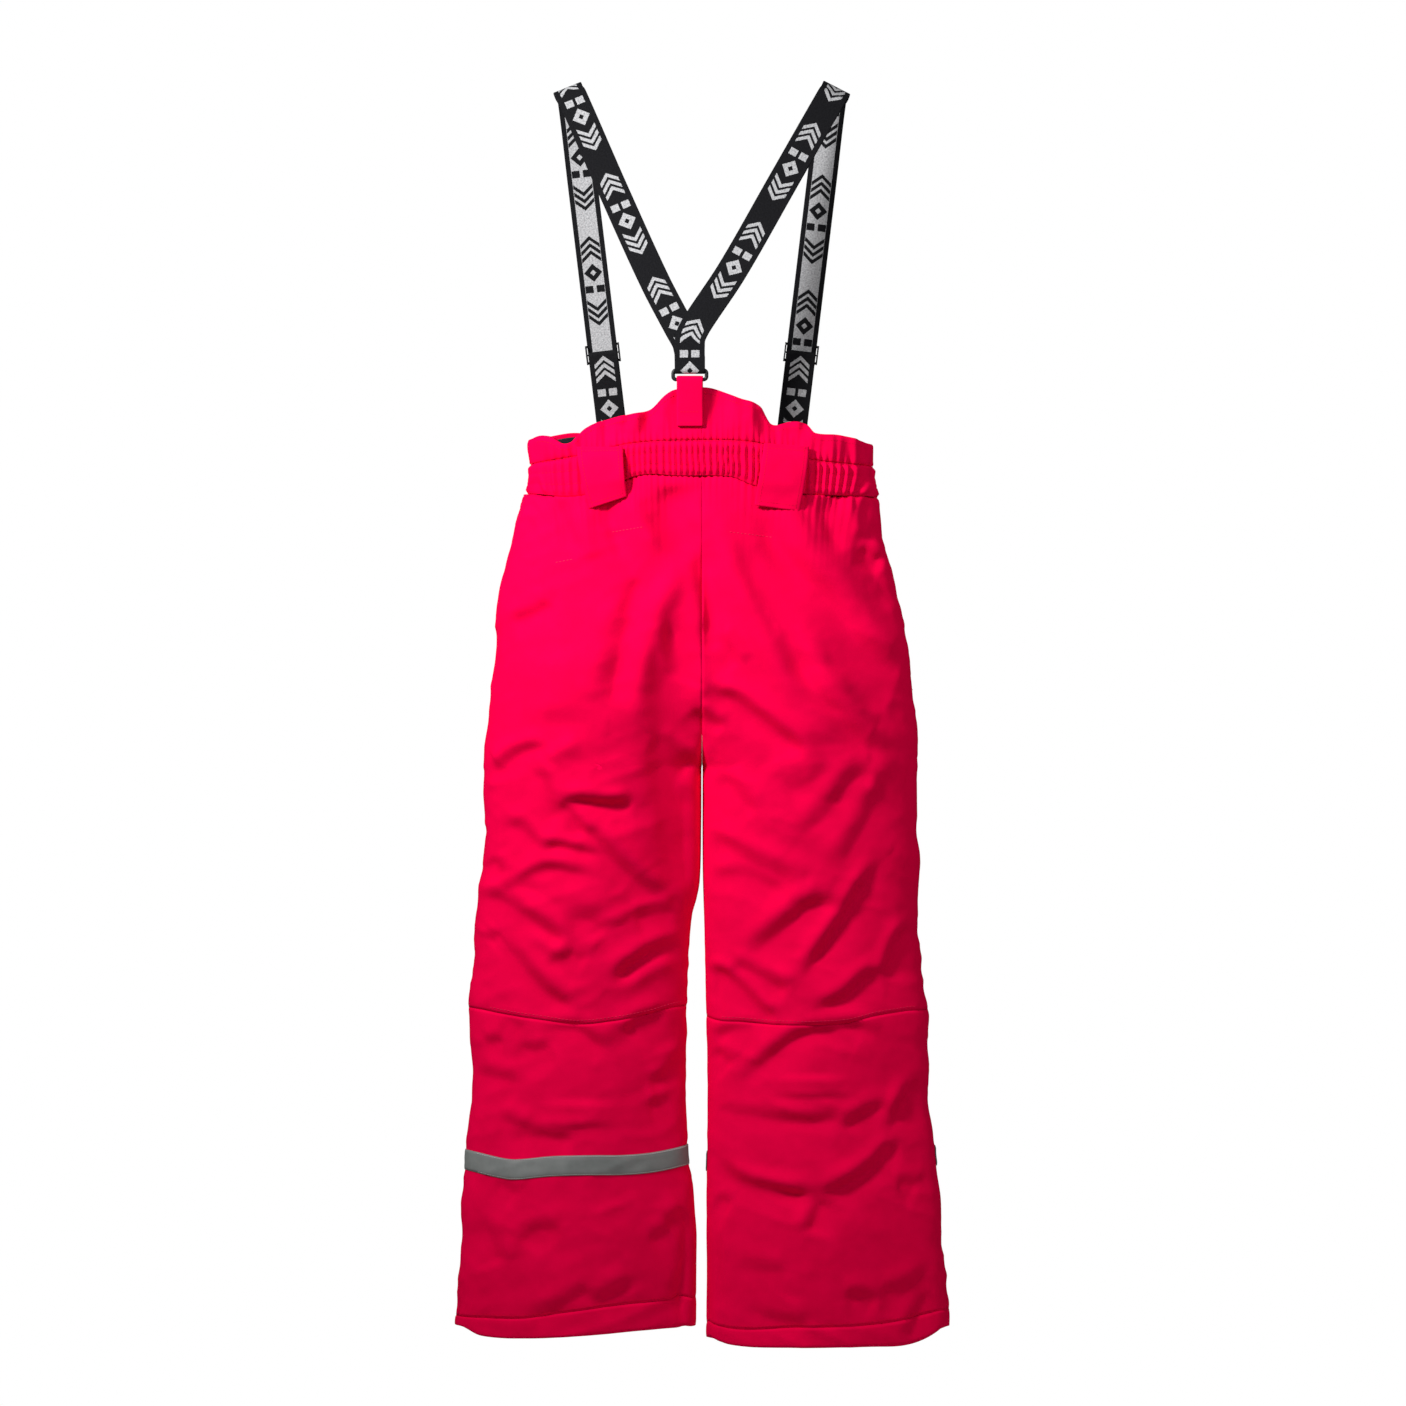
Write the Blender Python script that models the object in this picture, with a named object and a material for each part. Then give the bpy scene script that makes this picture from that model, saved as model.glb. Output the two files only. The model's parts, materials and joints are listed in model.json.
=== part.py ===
"""Junior ski pants with elastic suspenders, as an assembly of sewn panels, trims and small hardware.

The frame is the hanging garment's own. The origin lies midway between the tops of the two suspender
straps, where a hanger or the wearer's shoulders carry them. +Z is up, the wearer faces +Y, and +X is
the wearer's right. Lengths are metres.
"""
from math import acos, copysign, cos, pi, radians, sin

import bmesh
import bpy
from mathutils import Matrix, Vector

LEFT, RIGHT = -1, 1
BACK, FRONT = -1, 1
SIDE_NAME = {LEFT: "left", RIGHT: "right"}

# Heights of the garment's landmarks
CHANNEL_TOP_Z = -0.378
WAIST_SEAM_Z = -0.415
CROTCH_Z = -0.680
KNEE_TOP_Z = -0.885
KNEE_Z = -0.930
KNEE_BOTTOM_Z = -0.975
HEM_SEAM_Z = -1.215
HEM_Z = -1.255
FRONT_FRILL_TOP_Z = -0.352

# The outline: (height, distance) from the waist down
SIDE_SEAM = [(-0.300, 0.172), (-0.357, 0.173), (-0.378, 0.171), (-0.415, 0.1715), (-0.475, 0.190),
             (-0.555, 0.205), (-0.675, 0.216), (-0.795, 0.220), (-0.935, 0.228), (-1.055, 0.233),
             (-1.235, 0.2495), (-1.255, 0.250)]
HALF_DEPTH = [(-0.300, 0.042), (-0.340, 0.047), (-0.378, 0.051), (-0.415, 0.0545), (-0.480, 0.063),
              (-0.560, 0.069), (-0.640, 0.068), (-0.720, 0.064), (-0.800, 0.058), (-0.930, 0.050),
              (-1.080, 0.045), (-1.255, 0.042)]
# How far the two legs' sections have parted: 0 is one oval, 1 is two ovals that just touch
PARTING = [(-0.415, 0.0), (-0.500, 0.14), (-0.560, 0.38), (-0.620, 0.70), (-0.655, 0.90), (-0.680, 1.0)]
INSEAM = [(-0.680, 0.0003), (-0.750, 0.002), (-0.800, 0.003), (-0.930, 0.0065), (-1.100, 0.006),
          (-1.200, 0.003), (-1.255, 0.002)]
# The top edge of the back, by distance from the centre back: the bib rises in the middle
BACK_TOP_EDGE = [(0.0, -0.307), (0.030, -0.311), (0.060, -0.330), (0.100, -0.344), (0.140, -0.356),
                 (0.175, -0.358)]
ROUNDNESS = 2.4              # exponent of the oval sections: 2 is an ellipse

# Cloth
SEAM = 0.0002                # half of the gap between panels that meet at a seam
CLEAR = 0.0004               # gap between layers that lie on each other
SHELL = 0.0040               # insulated outer shell
BAND = 0.0035                # waistband and frill
LINING_OUT, LINING_IN = 0.0062, 0.0076
ELASTIC_OUT, ELASTIC_IN = 0.0045, 0.0060
FLEECE_OUT, FLEECE_IN = 0.0070, 0.0088
TAPE_HEIGHT = 0.020
TAPE_Z = -1.077
TAPE_THICKNESS = 0.0006
TAPE_LIFT = 0.0008           # over the flats of the panel it is sewn to

# Suspenders
STRAP_WIDTH = 0.030
STRAP = 0.0015
STRAP_TOP_X = 0.130
STRAP_TOP = 0.012            # depth, and drop, at which a strap leaves the hanger
Y_JOINT_X = -0.012           # the Y hangs a little to the wearer's left
BACK_RING = Vector((Y_JOINT_X, -0.051, -0.300))
FRONT_RING_TOP = (0.0905, 0.053, -0.345)
RING_WIDTH, RING_HEIGHT, RING_BAR = 0.038, 0.020, 0.0019
WRAP = RING_BAR + CLEAR + STRAP / 2
ADJUSTER_DROP = 0.257        # down the front strap from where it leaves the hanger
ADJUSTER_BAR_OUT = 0.0041    # how far the adjuster's middle bar stands from the strap's middle
ADJUSTER_WRAP = 0.0021

# Small hardware
ZIP_HALF_WIDTH = 0.009
FLY_TOP_Z, FLY_BOTTOM_Z = -0.421, -0.540
PULL_AXIS_OUT = 0.0045
PULL_LENGTH = 0.026

RED, DARK_RED = (0.80, 0.002, 0.09), (0.42, 0.002, 0.04)
BLACK, GREY = (0.012, 0.012, 0.014), (0.30, 0.31, 0.32)
COLUMNS, LEG_SEGMENTS, WAIST_QUARTER = 9, 18, 9


def clear_scene():
    for item in list(bpy.data.objects):
        bpy.data.objects.remove(item)


def material(name, colour, roughness, metallic=0.0):
    made = bpy.data.materials.get(name)
    if made is None:
        made = bpy.data.materials.new(name)
        made.use_nodes = True
        shader = made.node_tree.nodes["Principled BSDF"]
        shader.inputs["Base Color"].default_value = (*colour, 1.0)
        shader.inputs["Roughness"].default_value = roughness
        shader.inputs["Metallic"].default_value = metallic
    return made


def shell_fabric():
    return material("shell_fabric", RED, 0.7)


def lining_fabric():
    return material("lining_fabric", BLACK, 0.9)


def elastic_webbing():
    return material("elastic_webbing", BLACK, 0.8)


def black_plastic():
    return material("black_plastic", BLACK, 0.35)


def finish(name, verts, faces, look, smooth=True):
    """Make the named object of a closed mesh, with its faces turned out."""
    mesh = bpy.data.meshes.new(name)
    made = bmesh.new()
    points = [made.verts.new(point) for point in verts]
    for face in faces:
        made.faces.new([points[index] for index in face])
    bmesh.ops.recalc_face_normals(made, faces=made.faces)
    made.to_mesh(mesh)
    made.free()
    if smooth:
        mesh.shade_smooth()
        mesh.set_sharp_from_angle(angle=radians(40))
    mesh.materials.append(look)
    item = bpy.data.objects.new(name, mesh)
    bpy.context.scene.collection.objects.link(item)
    return item


def set_origin(item, place):
    """Put an object's origin on its joint's axis without moving its shape."""
    item.data.transform(Matrix.Translation(-Vector(place)))
    item.location = place


def profile(stations, at):
    """A smooth curve through (place, value) stations, read at one place."""
    rows = sorted(stations)
    if at <= rows[0][0]:
        return rows[0][1]
    if at >= rows[-1][0]:
        return rows[-1][1]
    slopes = []
    for index in range(len(rows)):
        low, high = rows[max(index - 1, 0)], rows[min(index + 1, len(rows) - 1)]
        slopes.append((high[1] - low[1]) / (high[0] - low[0]))
    for index in range(len(rows) - 1):
        (x0, v0), (x1, v1) = rows[index], rows[index + 1]
        if at <= x1:
            span = x1 - x0
            t = (at - x0) / span
            start = v0 * (1 + 2 * t) * (1 - t) ** 2 + slopes[index] * span * t * (1 - t) ** 2
            end = v1 * t * t * (3 - 2 * t) + slopes[index + 1] * span * t * t * (t - 1)
            return start + end
    return rows[-1][1]


# ---------------------------------------------------------------- the garment's surface

def section(z):
    """The middle, half width and half depth of one leg's oval at a height, for the right leg."""
    x_out = profile(SIDE_SEAM, z)
    if z > CROTCH_Z:
        parting = profile(PARTING, z)
        x_in = -x_out * (1 - parting) / (1 + parting)
    else:
        x_in = profile(INSEAM, z)
    return (x_in + x_out) / 2, (x_out - x_in) / 2, profile(HALF_DEPTH, z)


def shell_point(side, face, u, z, inset=0.0):
    """A point of the shell: u runs from the side seam, 0, to the centre seam or inseam, 1."""
    middle, half_width, half_depth = section(z)
    half_width -= inset
    half_depth -= inset
    end = acos(-(middle / half_width) ** (ROUNDNESS / 2)) if middle < half_width else pi
    across = cos(u * end)
    x = middle + half_width * copysign(abs(across) ** (2 / ROUNDNESS), across)
    y = half_depth * abs(sin(u * end)) ** (2 / ROUNDNESS)
    return Vector((side * max(x, SEAM), face * max(y, SEAM), z))


def leg_point(side, turn, z, inset=0.0):
    """A point of one leg's tube below the crotch; turn is 0 to 1 once round from the side seam."""
    middle, half_width, half_depth = section(z)
    across, deep = cos(2 * pi * turn), sin(2 * pi * turn)
    x = middle + (half_width - inset) * copysign(abs(across) ** (2 / ROUNDNESS), across)
    y = (half_depth - inset) * copysign(abs(deep) ** (2 / ROUNDNESS), deep)
    return Vector((side * x, y, z))


def waist_loop():
    """The stations once round the body, as (side, face, u), without doubled points at the seams."""
    steps = [index / WAIST_QUARTER for index in range(WAIST_QUARTER + 1)]
    loop = [(RIGHT, BACK, u) for u in steps] + [(LEFT, BACK, u) for u in reversed(steps[:-1])]
    loop += [(LEFT, FRONT, u) for u in steps[1:]] + [(RIGHT, FRONT, u) for u in reversed(steps[1:-1])]
    return loop


def skin(name, point, columns, rows, outer, inner, look, closed=False):
    """A layer of cloth: point(column, row, inset) places it, and it has two faces and a rim."""
    count = columns if closed else columns + 1
    verts = []
    for inset in (outer, inner):
        for row in range(rows + 1):
            verts += [point(column, row, inset) for column in range(count)]
    layer = count * (rows + 1)
    faces = []
    for row in range(rows):
        for column in range(columns):
            near, far = row * count + column, row * count + (column + 1) % count
            quad = (near, far, far + count, near + count)
            faces += [quad, tuple(layer + index for index in reversed(quad))]
    rim_rows = [0, rows * count]
    for start in rim_rows:
        for column in range(columns):
            near, far = start + column, start + (column + 1) % count
            faces.append((near, far, far + layer, near + layer))
    if not closed:
        for column in (0, columns):
            for row in range(rows):
                near, far = row * count + column, (row + 1) * count + column
                faces.append((near, far, far + layer, near + layer))
    return finish(name, verts, faces, look)


def between(low, high, step, steps):
    return low + (high - low) * step / steps


def panel(name, side, face, top, bottom, rows, outer=0.0, inner=SHELL, look=None, u_low=0.0, u_high=1.0,
          columns=COLUMNS):
    """A quarter panel of the shell between two heights."""
    def place(column, row, inset):
        return shell_point(side, face, between(u_low, u_high, column, columns),
                           between(top, bottom, row, rows), inset)
    return skin(name, place, columns, rows, outer, inner, look or shell_fabric())


def leg_tube(name, side, top, bottom, rows, outer, inner, look):
    """A tube once round a leg."""
    def place(column, row, inset):
        return leg_point(side, column / LEG_SEGMENTS, between(top, bottom, row, rows), inset)
    return skin(name, place, LEG_SEGMENTS, rows, outer, inner, look, closed=True)


def body_tube(name, top, bottom, rows, outer, inner, look):
    """A tube once round the waist and hips."""
    loop = waist_loop()

    def place(column, row, inset):
        side, face, u = loop[column]
        return shell_point(side, face, u, between(top, bottom, row, rows), inset)
    return skin(name, place, len(loop), rows, outer, inner, look, closed=True)


def back_band(name, top_of, bottom, rows, outer, inner, look):
    """A band across the whole back, from side seam to side seam; top_of gives its top by distance."""
    columns = 2 * WAIST_QUARTER

    def place(column, row, inset):
        u = 1 - abs(column - WAIST_QUARTER) / WAIST_QUARTER
        side = RIGHT if column < WAIST_QUARTER else LEFT
        edge = shell_point(side, BACK, u, WAIST_SEAM_Z)
        here = shell_point(side, BACK, u, between(top_of(abs(edge.x)), bottom, row, rows), inset)
        return Vector((0.0, here.y, here.z)) if column == WAIST_QUARTER else here
    return skin(name, place, columns, rows, outer, inner, look)


# ---------------------------------------------------------------- strips, prisms and frames

def strip(name, points, across, width, thickness, look):
    """A flat strap along points; across gives the direction of its width at each of them."""
    verts, faces = [], []
    last = len(points) - 1
    for index, point in enumerate(points):
        ahead = (points[min(index + 1, last)] - points[max(index - 1, 0)]).normalized()
        wide = (across[index] - ahead * across[index].dot(ahead)).normalized()
        thick = ahead.cross(wide)
        for along, through in ((-1, -1), (1, -1), (1, 1), (-1, 1)):
            verts.append(point + wide * along * width / 2 + thick * through * thickness / 2)
    for index in range(last):
        for corner in range(4):
            near, far = 4 * index + corner, 4 * index + (corner + 1) % 4
            faces.append((near, far, far + 4, near + 4))
    faces += [(0, 1, 2, 3), tuple(4 * last + corner for corner in range(4))]
    return finish(name, verts, faces, look)


def prism(name, outline, start, end, frame, look):
    """An outline across (x) and out (z), drawn out along y, in a local frame."""
    verts = [frame @ Vector((x, start, z)) for x, z in outline]
    verts += [frame @ Vector((x, end, z)) for x, z in outline]
    count = len(outline)
    faces = [(i, (i + 1) % count, count + (i + 1) % count, count + i) for i in range(count)]
    faces += [tuple(range(count)), tuple(range(count, 2 * count))]
    return finish(name, verts, faces, look, smooth=False)


def blocks(name, lines, boxes, frame, look):
    """One solid of boxes that share whole faces, on a grid of lines (x, y and z) in a local frame."""
    filled = set()
    for low, high in boxes:
        for i in range(len(lines[0]) - 1):
            for j in range(len(lines[1]) - 1):
                for k in range(len(lines[2]) - 1):
                    cell = (lines[0][i], lines[1][j], lines[2][k])
                    if all(low[n] <= cell[n] < high[n] for n in range(3)):
                        filled.add((i, j, k))
    corners, faces = {}, []
    for cell in sorted(filled):
        for axis in range(3):
            for step in (0, 1):
                beyond = list(cell)
                beyond[axis] += 2 * step - 1
                if tuple(beyond) in filled:
                    continue
                one, two = [n for n in range(3) if n != axis]
                face = []
                for d_one, d_two in ((0, 0), (1, 0), (1, 1), (0, 1)):
                    corner = list(cell)
                    corner[axis] += step
                    corner[one] += d_one
                    corner[two] += d_two
                    face.append(corners.setdefault(tuple(corner), len(corners)))
                faces.append(face)
    verts = [frame @ Vector([lines[n][corner[n]] for n in range(3)]) for corner in corners]
    return finish(name, verts, faces, look, smooth=False)


def ring_frame(name, width, height, corner, bar, frame, look, sides=6):
    """A rounded rectangle of round bar, centred in a local frame's x and y."""
    path = []
    for quarter, (sx, sy) in enumerate(((1, 1), (-1, 1), (-1, -1), (1, -1))):
        for step in range(4):
            angle = (quarter + step / 3) * pi / 2
            path.append((Vector((sx * (width / 2 - corner) + corner * cos(angle),
                                 sy * (height / 2 - corner) + corner * sin(angle), 0.0)), angle))
    verts, faces = [], []
    for middle, angle in path:
        outward = Vector((cos(angle), sin(angle), 0.0))
        for n in range(sides):
            turn = 2 * pi * (n + 0.5) / sides
            verts.append(frame @ (middle + outward * bar * cos(turn) + Vector((0, 0, bar * sin(turn)))))
    count = len(path)
    for i in range(count):
        for n in range(sides):
            a, b = i * sides + n, i * sides + (n + 1) % sides
            c, d = (i + 1) % count * sides + n, (i + 1) % count * sides + (n + 1) % sides
            faces.append((a, b, d, c))
    return finish(name, verts, faces, look)


def disc(name, radius, edge, height, frame, look, segments=20):
    """A round cap with a chamfered rim, standing on the local x-y plane."""
    verts, faces = [], []
    for size, out in ((radius, 0.0), (radius, height - edge), (radius - edge, height)):
        for n in range(segments):
            turn = 2 * pi * n / segments
            verts.append(frame @ Vector((size * cos(turn), size * sin(turn), out)))
    for row in range(2):
        for n in range(segments):
            near, far = row * segments + n, row * segments + (n + 1) % segments
            faces.append((near, far, far + segments, near + segments))
    faces += [tuple(range(segments)), tuple(range(2 * segments, 3 * segments))]
    return finish(name, verts, faces, look)


def frame_at(origin, across, along):
    """A local frame: x across, y along, z out, with along kept exact."""
    y = along.normalized()
    x = (across - y * across.dot(y)).normalized()
    z = x.cross(y)
    made = Matrix((x, y, z)).transposed().to_4x4()
    made.translation = origin
    return made


# ---------------------------------------------------------------- garment

def make_legs(side):
    name = SIDE_NAME[side]
    panel(f"seat_panel_{name}", side, BACK, WAIST_SEAM_Z - SEAM, KNEE_TOP_Z + SEAM, 14)
    panel(f"front_panel_{name}", side, FRONT, WAIST_SEAM_Z - SEAM, KNEE_TOP_Z + SEAM, 14)
    leg_tube(f"knee_section_{name}", side, KNEE_TOP_Z - SEAM, KNEE_BOTTOM_Z + SEAM, 3, 0.0, SHELL,
             shell_fabric())
    panel(f"calf_panel_{name}", side, BACK, KNEE_BOTTOM_Z - SEAM, HEM_SEAM_Z + SEAM, 5)
    panel(f"shin_panel_{name}", side, FRONT, KNEE_BOTTOM_Z - SEAM, HEM_SEAM_Z + SEAM, 5)
    leg_tube(f"hem_band_{name}", side, HEM_SEAM_Z - SEAM, HEM_Z, 1, 0.0, SHELL, shell_fabric())
    leg_tube(f"leg_lining_{name}", side, CROTCH_Z - 0.012, KNEE_TOP_Z + SEAM, 4, LINING_OUT, LINING_IN,
             lining_fabric())
    leg_tube(f"calf_lining_{name}", side, KNEE_BOTTOM_Z - SEAM, -1.130, 3, LINING_OUT, LINING_IN,
             lining_fabric())


def make_gaiter(side):
    """An inner cuff that hangs from the lining and closes on the boot with an elastic."""
    name = SIDE_NAME[side]
    top, bottom, elastic_top = -1.132, -1.232, -1.212
    gather = 0.018

    def inset_at(z):
        return LINING_OUT + gather * min(1.0, (top - z) / (top - elastic_top))

    def cuff(column, row, inset):
        z = (top, (top + elastic_top) / 2, elastic_top, bottom)[row]
        return leg_point(side, column / LEG_SEGMENTS, z, inset + inset_at(z))

    def band(column, row, inset):
        return leg_point(side, column / LEG_SEGMENTS, (elastic_top, bottom + 0.004)[row],
                         inset + inset_at(bottom))
    skin(f"snow_gaiter_{name}", cuff, LEG_SEGMENTS, 3, 0.0, 0.0012, lining_fabric(), closed=True)
    skin(f"gaiter_elastic_{name}", band, LEG_SEGMENTS, 1, 0.0012 + CLEAR, 0.0030, elastic_webbing(),
         closed=True)


def make_reflective_tape(side, face):
    name = f"reflective_tape_{SIDE_NAME[side]}"
    panel(name, side, face, TAPE_Z + TAPE_HEIGHT / 2, TAPE_Z - TAPE_HEIGHT / 2, 1,
          -TAPE_LIFT - TAPE_THICKNESS, -TAPE_LIFT, material("reflective_tape", GREY, 0.4))


def make_waist():
    red, black = shell_fabric(), lining_fabric()
    back_band("waistband_back", lambda x: CHANNEL_TOP_Z, WAIST_SEAM_Z + SEAM, 1, 0.0, BAND, red)
    back_band("back_bib", lambda x: profile(BACK_TOP_EDGE, x), CHANNEL_TOP_Z + 2 * SEAM, 4, 0.0, BAND, red)
    for side in (LEFT, RIGHT):
        name = SIDE_NAME[side]
        panel(f"waistband_front_{name}", side, FRONT, CHANNEL_TOP_Z, WAIST_SEAM_Z + SEAM, 1, 0.0, BAND, red)
        panel(f"front_frill_{name}", side, FRONT, FRONT_FRILL_TOP_Z, CHANNEL_TOP_Z + 2 * SEAM, 1, 0.0, BAND,
              red)
    body_tube("waist_elastic", CHANNEL_TOP_Z - 0.003, WAIST_SEAM_Z + 0.004, 1, ELASTIC_OUT, ELASTIC_IN,
              elastic_webbing())
    body_tube("waist_lining", FRONT_FRILL_TOP_Z - 0.008, -0.470, 4, FLEECE_OUT, FLEECE_IN, black)
    body_tube("body_lining", -0.474, -0.650, 5, LINING_OUT, LINING_IN, black)


def make_belt_loop(side):
    """A wide loop sewn at its two ends: a belt passes between it and the waistband."""
    middle_u, half_u = 0.665, 0.085
    heights = [-0.366, -0.372, -0.378, -0.397, -0.415, -0.422, -0.430]
    stand_off = [CLEAR, CLEAR, 0.0085, 0.0098, 0.0090, 0.0024, 0.0018]
    thickness = 0.0016

    def place(column, row, inset):
        u = between(middle_u - half_u, middle_u + half_u, column, 4)
        return shell_point(side, BACK, u, heights[row], -stand_off[row] - inset)
    skin(f"belt_loop_{SIDE_NAME[side]}", place, 4, len(heights) - 1, thickness, 0.0, shell_fabric())


# ---------------------------------------------------------------- suspenders

def arc(centre, one, two, radius, start, end, steps):
    """Points on an arc in the plane of two unit vectors."""
    made = []
    for step in range(steps + 1):
        angle = between(start, end, step, steps)
        made.append(centre + one * radius * cos(angle) + two * radius * sin(angle))
    return made


def back_plane():
    """The tilted plane the two back straps lie in, as its origin and its downward direction."""
    top = Vector((0.0, -STRAP_TOP, -STRAP_TOP))
    ring = Vector((0.0, BACK_RING.y - WRAP, BACK_RING.z + 0.038))
    return top, (ring - top).normalized()


def front_frame(side):
    """The local frame of a front strap: y down along it, z towards the body, origin at its top."""
    top = Vector((side * STRAP_TOP_X, STRAP_TOP, -STRAP_TOP))
    end = Vector((side * FRONT_RING_TOP[0], FRONT_RING_TOP[1], FRONT_RING_TOP[2]))
    down = (end - top).normalized()
    made = frame_at(top, Vector((-1, 0, 0)), down)
    return made, (end - top).length


def over_the_hanger(side, low_direction, low_across, frame):
    """Points and widths of the strap where it turns over a hanger's arm, from back to front."""
    front_across = -side * (frame.to_3x3() @ Vector((1, 0, 0)))
    points = [Vector((side * 0.1315, -0.0085, -0.0035)), Vector((side * 0.1325, -0.0045, 0.0015)),
              Vector((side * 0.1328, 0.0, 0.0033)),
              Vector((side * 0.1325, 0.0045, 0.0015)), Vector((side * 0.1312, 0.0085, -0.0035))]
    across = []
    for index in range(len(points)):
        part = (index + 1) / (len(points) + 1)
        across.append(low_across.lerp(front_across, part).normalized())
    return points, across


def front_run(side, frame, length):
    """The strap down the front, round the ring's top bar and a little way up behind it."""
    local = [Vector((0, drop, 0)) for drop in (0.0, length * 0.25, length * 0.5, length * 0.75, length)]
    centre = Vector((0, length, WRAP))
    local += arc(centre, Vector((0, 0, -1)), Vector((0, 1, 0)), WRAP, pi / 6, pi, 5)
    local.append(Vector((0, length - 0.012, 2 * WRAP)))
    points = [frame @ point for point in local]
    wide = -side * (frame.to_3x3() @ Vector((1, 0, 0)))
    return points, [wide] * len(points)


def make_strap(side, low_points, layer):
    """One suspender: low_points lists (x, drop) in the back plane, from the Y up to the shoulder."""
    name = SIDE_NAME[side]
    origin, down = back_plane()
    out = down.cross(Vector((1, 0, 0))).normalized()
    if out.y > 0:
        out = -out
    points = [Vector((x, 0, 0)) + origin + down * drop - out * layer for x, drop in low_points]
    points.append(Vector((side * STRAP_TOP_X, 0, 0)) + origin)
    across = []
    for index in range(len(points)):
        ahead = points[min(index + 1, len(points) - 1)] - points[max(index - 1, 0)]
        across.append(out.cross(ahead).normalized())
    return name, points, across, out


def back_loop(points, across, out):
    """Carry the right strap on down round the back ring's top bar and up behind it."""
    bar = BACK_RING + Vector((0, 0, RING_HEIGHT / 2))
    outward, downward = Vector((0, -1, 0)), Vector((0, 0, -1))
    loop = arc(bar, outward, downward, WRAP, 0.0, pi, 6)
    loop.append(bar - outward * WRAP - downward * 0.014)
    loop.reverse()
    return loop + points, [across[0]] * len(loop) + across


def make_suspenders():
    webbing = elastic_webbing()
    y_drop = 0.252
    low = {RIGHT: [(Y_JOINT_X, y_drop), (Y_JOINT_X + 0.002, 0.244), (Y_JOINT_X + 0.009, 0.231),
                   (0.030, 0.180), (0.080, 0.090)],
           LEFT: [(-0.0235, 0.246), (-0.045, 0.199), (-0.085, 0.105)]}
    layer = {RIGHT: 0.0, LEFT: STRAP + CLEAR}
    for side in (LEFT, RIGHT):
        name, points, across, out = make_strap(side, low[side], layer[side])
        if side == RIGHT:
            across[0] = Vector((copysign(1, across[1].x), 0, 0))
            points, across = back_loop(points, across, out)
        frame, length = front_frame(side)
        top_points, top_across = over_the_hanger(side, None, across[-1], frame)
        run_points, run_across = front_run(side, frame, length)
        if run_across[0].dot(across[-1]) < 0:
            run_across = [-wide for wide in run_across]
            top_across = [across[-1].lerp(run_across[0], (n + 1) / 6).normalized() for n in range(5)]
        strip(f"suspender_strap_{name}", points + top_points + run_points,
              across + top_across + run_across, STRAP_WIDTH, STRAP, webbing)
        make_return(name, frame, length)
        make_adjuster(name, frame)
        ring_middle = Vector((0, length + RING_HEIGHT / 2, WRAP))
        ring = frame.copy()
        ring.translation = frame @ ring_middle
        ring_frame(f"front_ring_{name}", RING_WIDTH, RING_HEIGHT, 0.004, RING_BAR, ring, black_plastic())
        ring.translation = frame @ (ring_middle + Vector((0, RING_HEIGHT / 2, 0)))
        make_tab(f"front_strap_tab_{name}", ring, FRONT, -0.404, -0.384)
    upright = frame_at(BACK_RING, Vector((1, 0, 0)), Vector((0, 0, -1)))
    ring_frame("back_ring", RING_WIDTH, RING_HEIGHT, 0.004, RING_BAR, upright, black_plastic())
    upright.translation = BACK_RING - Vector((0, 0, RING_HEIGHT / 2))
    make_tab("back_strap_tab", upright, BACK, -0.344, -0.328)


def make_return(name, frame, length):
    """The turned-back end of the strap, from the ring up round the adjuster's middle bar."""
    bar = Vector((0, ADJUSTER_DROP, ADJUSTER_BAR_OUT))
    local = [Vector((0, length - 0.012 - CLEAR, 2 * WRAP)), Vector((0, length - 0.030, 2 * WRAP)),
             Vector((0, ADJUSTER_DROP + 0.010, ADJUSTER_BAR_OUT + ADJUSTER_WRAP))]
    local += arc(bar, Vector((0, 0, 1)), Vector((0, -1, 0)), ADJUSTER_WRAP, 0.0, pi, 6)
    local.append(Vector((0, ADJUSTER_DROP + 0.008, ADJUSTER_BAR_OUT - ADJUSTER_WRAP)))
    points = [frame @ point for point in local]
    wide = frame.to_3x3() @ Vector((1, 0, 0))
    strip(f"strap_return_{name}", points, [wide] * len(points), STRAP_WIDTH - 0.0006, STRAP,
          elastic_webbing())


def make_adjuster(name, frame):
    """A three-bar slide: the strap runs straight between its outer bars and its middle bar."""
    half, cheek, reach = 0.0157, 0.0030, 0.0095
    bar, low, high = 0.0025, -0.0032, 0.0053
    lines = ([-half - cheek, -half, half, half + cheek],
             [-reach, -reach + bar, -0.0008, 0.0008, reach - bar, reach],
             [low, -0.0012, 0.0033, 0.0049, high])
    boxes = [((-half - cheek, -reach, low), (-half, reach, high)),
             ((half, -reach, low), (half + cheek, reach, high)),
             ((-half, -reach, low), (half, -reach + bar, -0.0012)),
             ((-half, reach - bar, low), (half, reach, -0.0012)),
             ((-half, -0.0008, 0.0033), (half, 0.0008, 0.0049))]
    place = frame.copy()
    place.translation = frame @ Vector((0, ADJUSTER_DROP, 0))
    item = blocks(f"strap_adjuster_{name}", lines, boxes, place, black_plastic())
    set_origin(item, place.translation)


def make_tab(name, ring_bar, face, end_z, meet_z):
    """A doubled tab round a ring's lower bar, with both layers sewn to the garment's face below."""
    width, thick = 0.026, 0.0015
    bar = ring_bar.translation
    across, down, inward = (column.to_3d() for column in ring_bar.transposed()[:3])
    nearest = 0.0
    for step in range(9):
        x = abs(bar.x) + between(-width / 2, width / 2, step, 8)
        for z in (end_z, (end_z + meet_z) / 2, meet_z):
            nearest = max(nearest, surface_depth(max(x, 0.0), z))
    inner = nearest + 0.0005 + thick / 2
    outer = inner + thick + CLEAR
    wrap = RING_BAR + CLEAR + thick / 2
    points = [Vector((bar.x, face * inner, end_z)), Vector((bar.x, face * inner, meet_z))]
    points += arc(bar, inward, -down, wrap, 0.0, pi, 6)
    points += [Vector((bar.x, face * outer, meet_z)), Vector((bar.x, face * outer, end_z))]
    strip(name, points, [across] * len(points), width, thick, shell_fabric())


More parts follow.
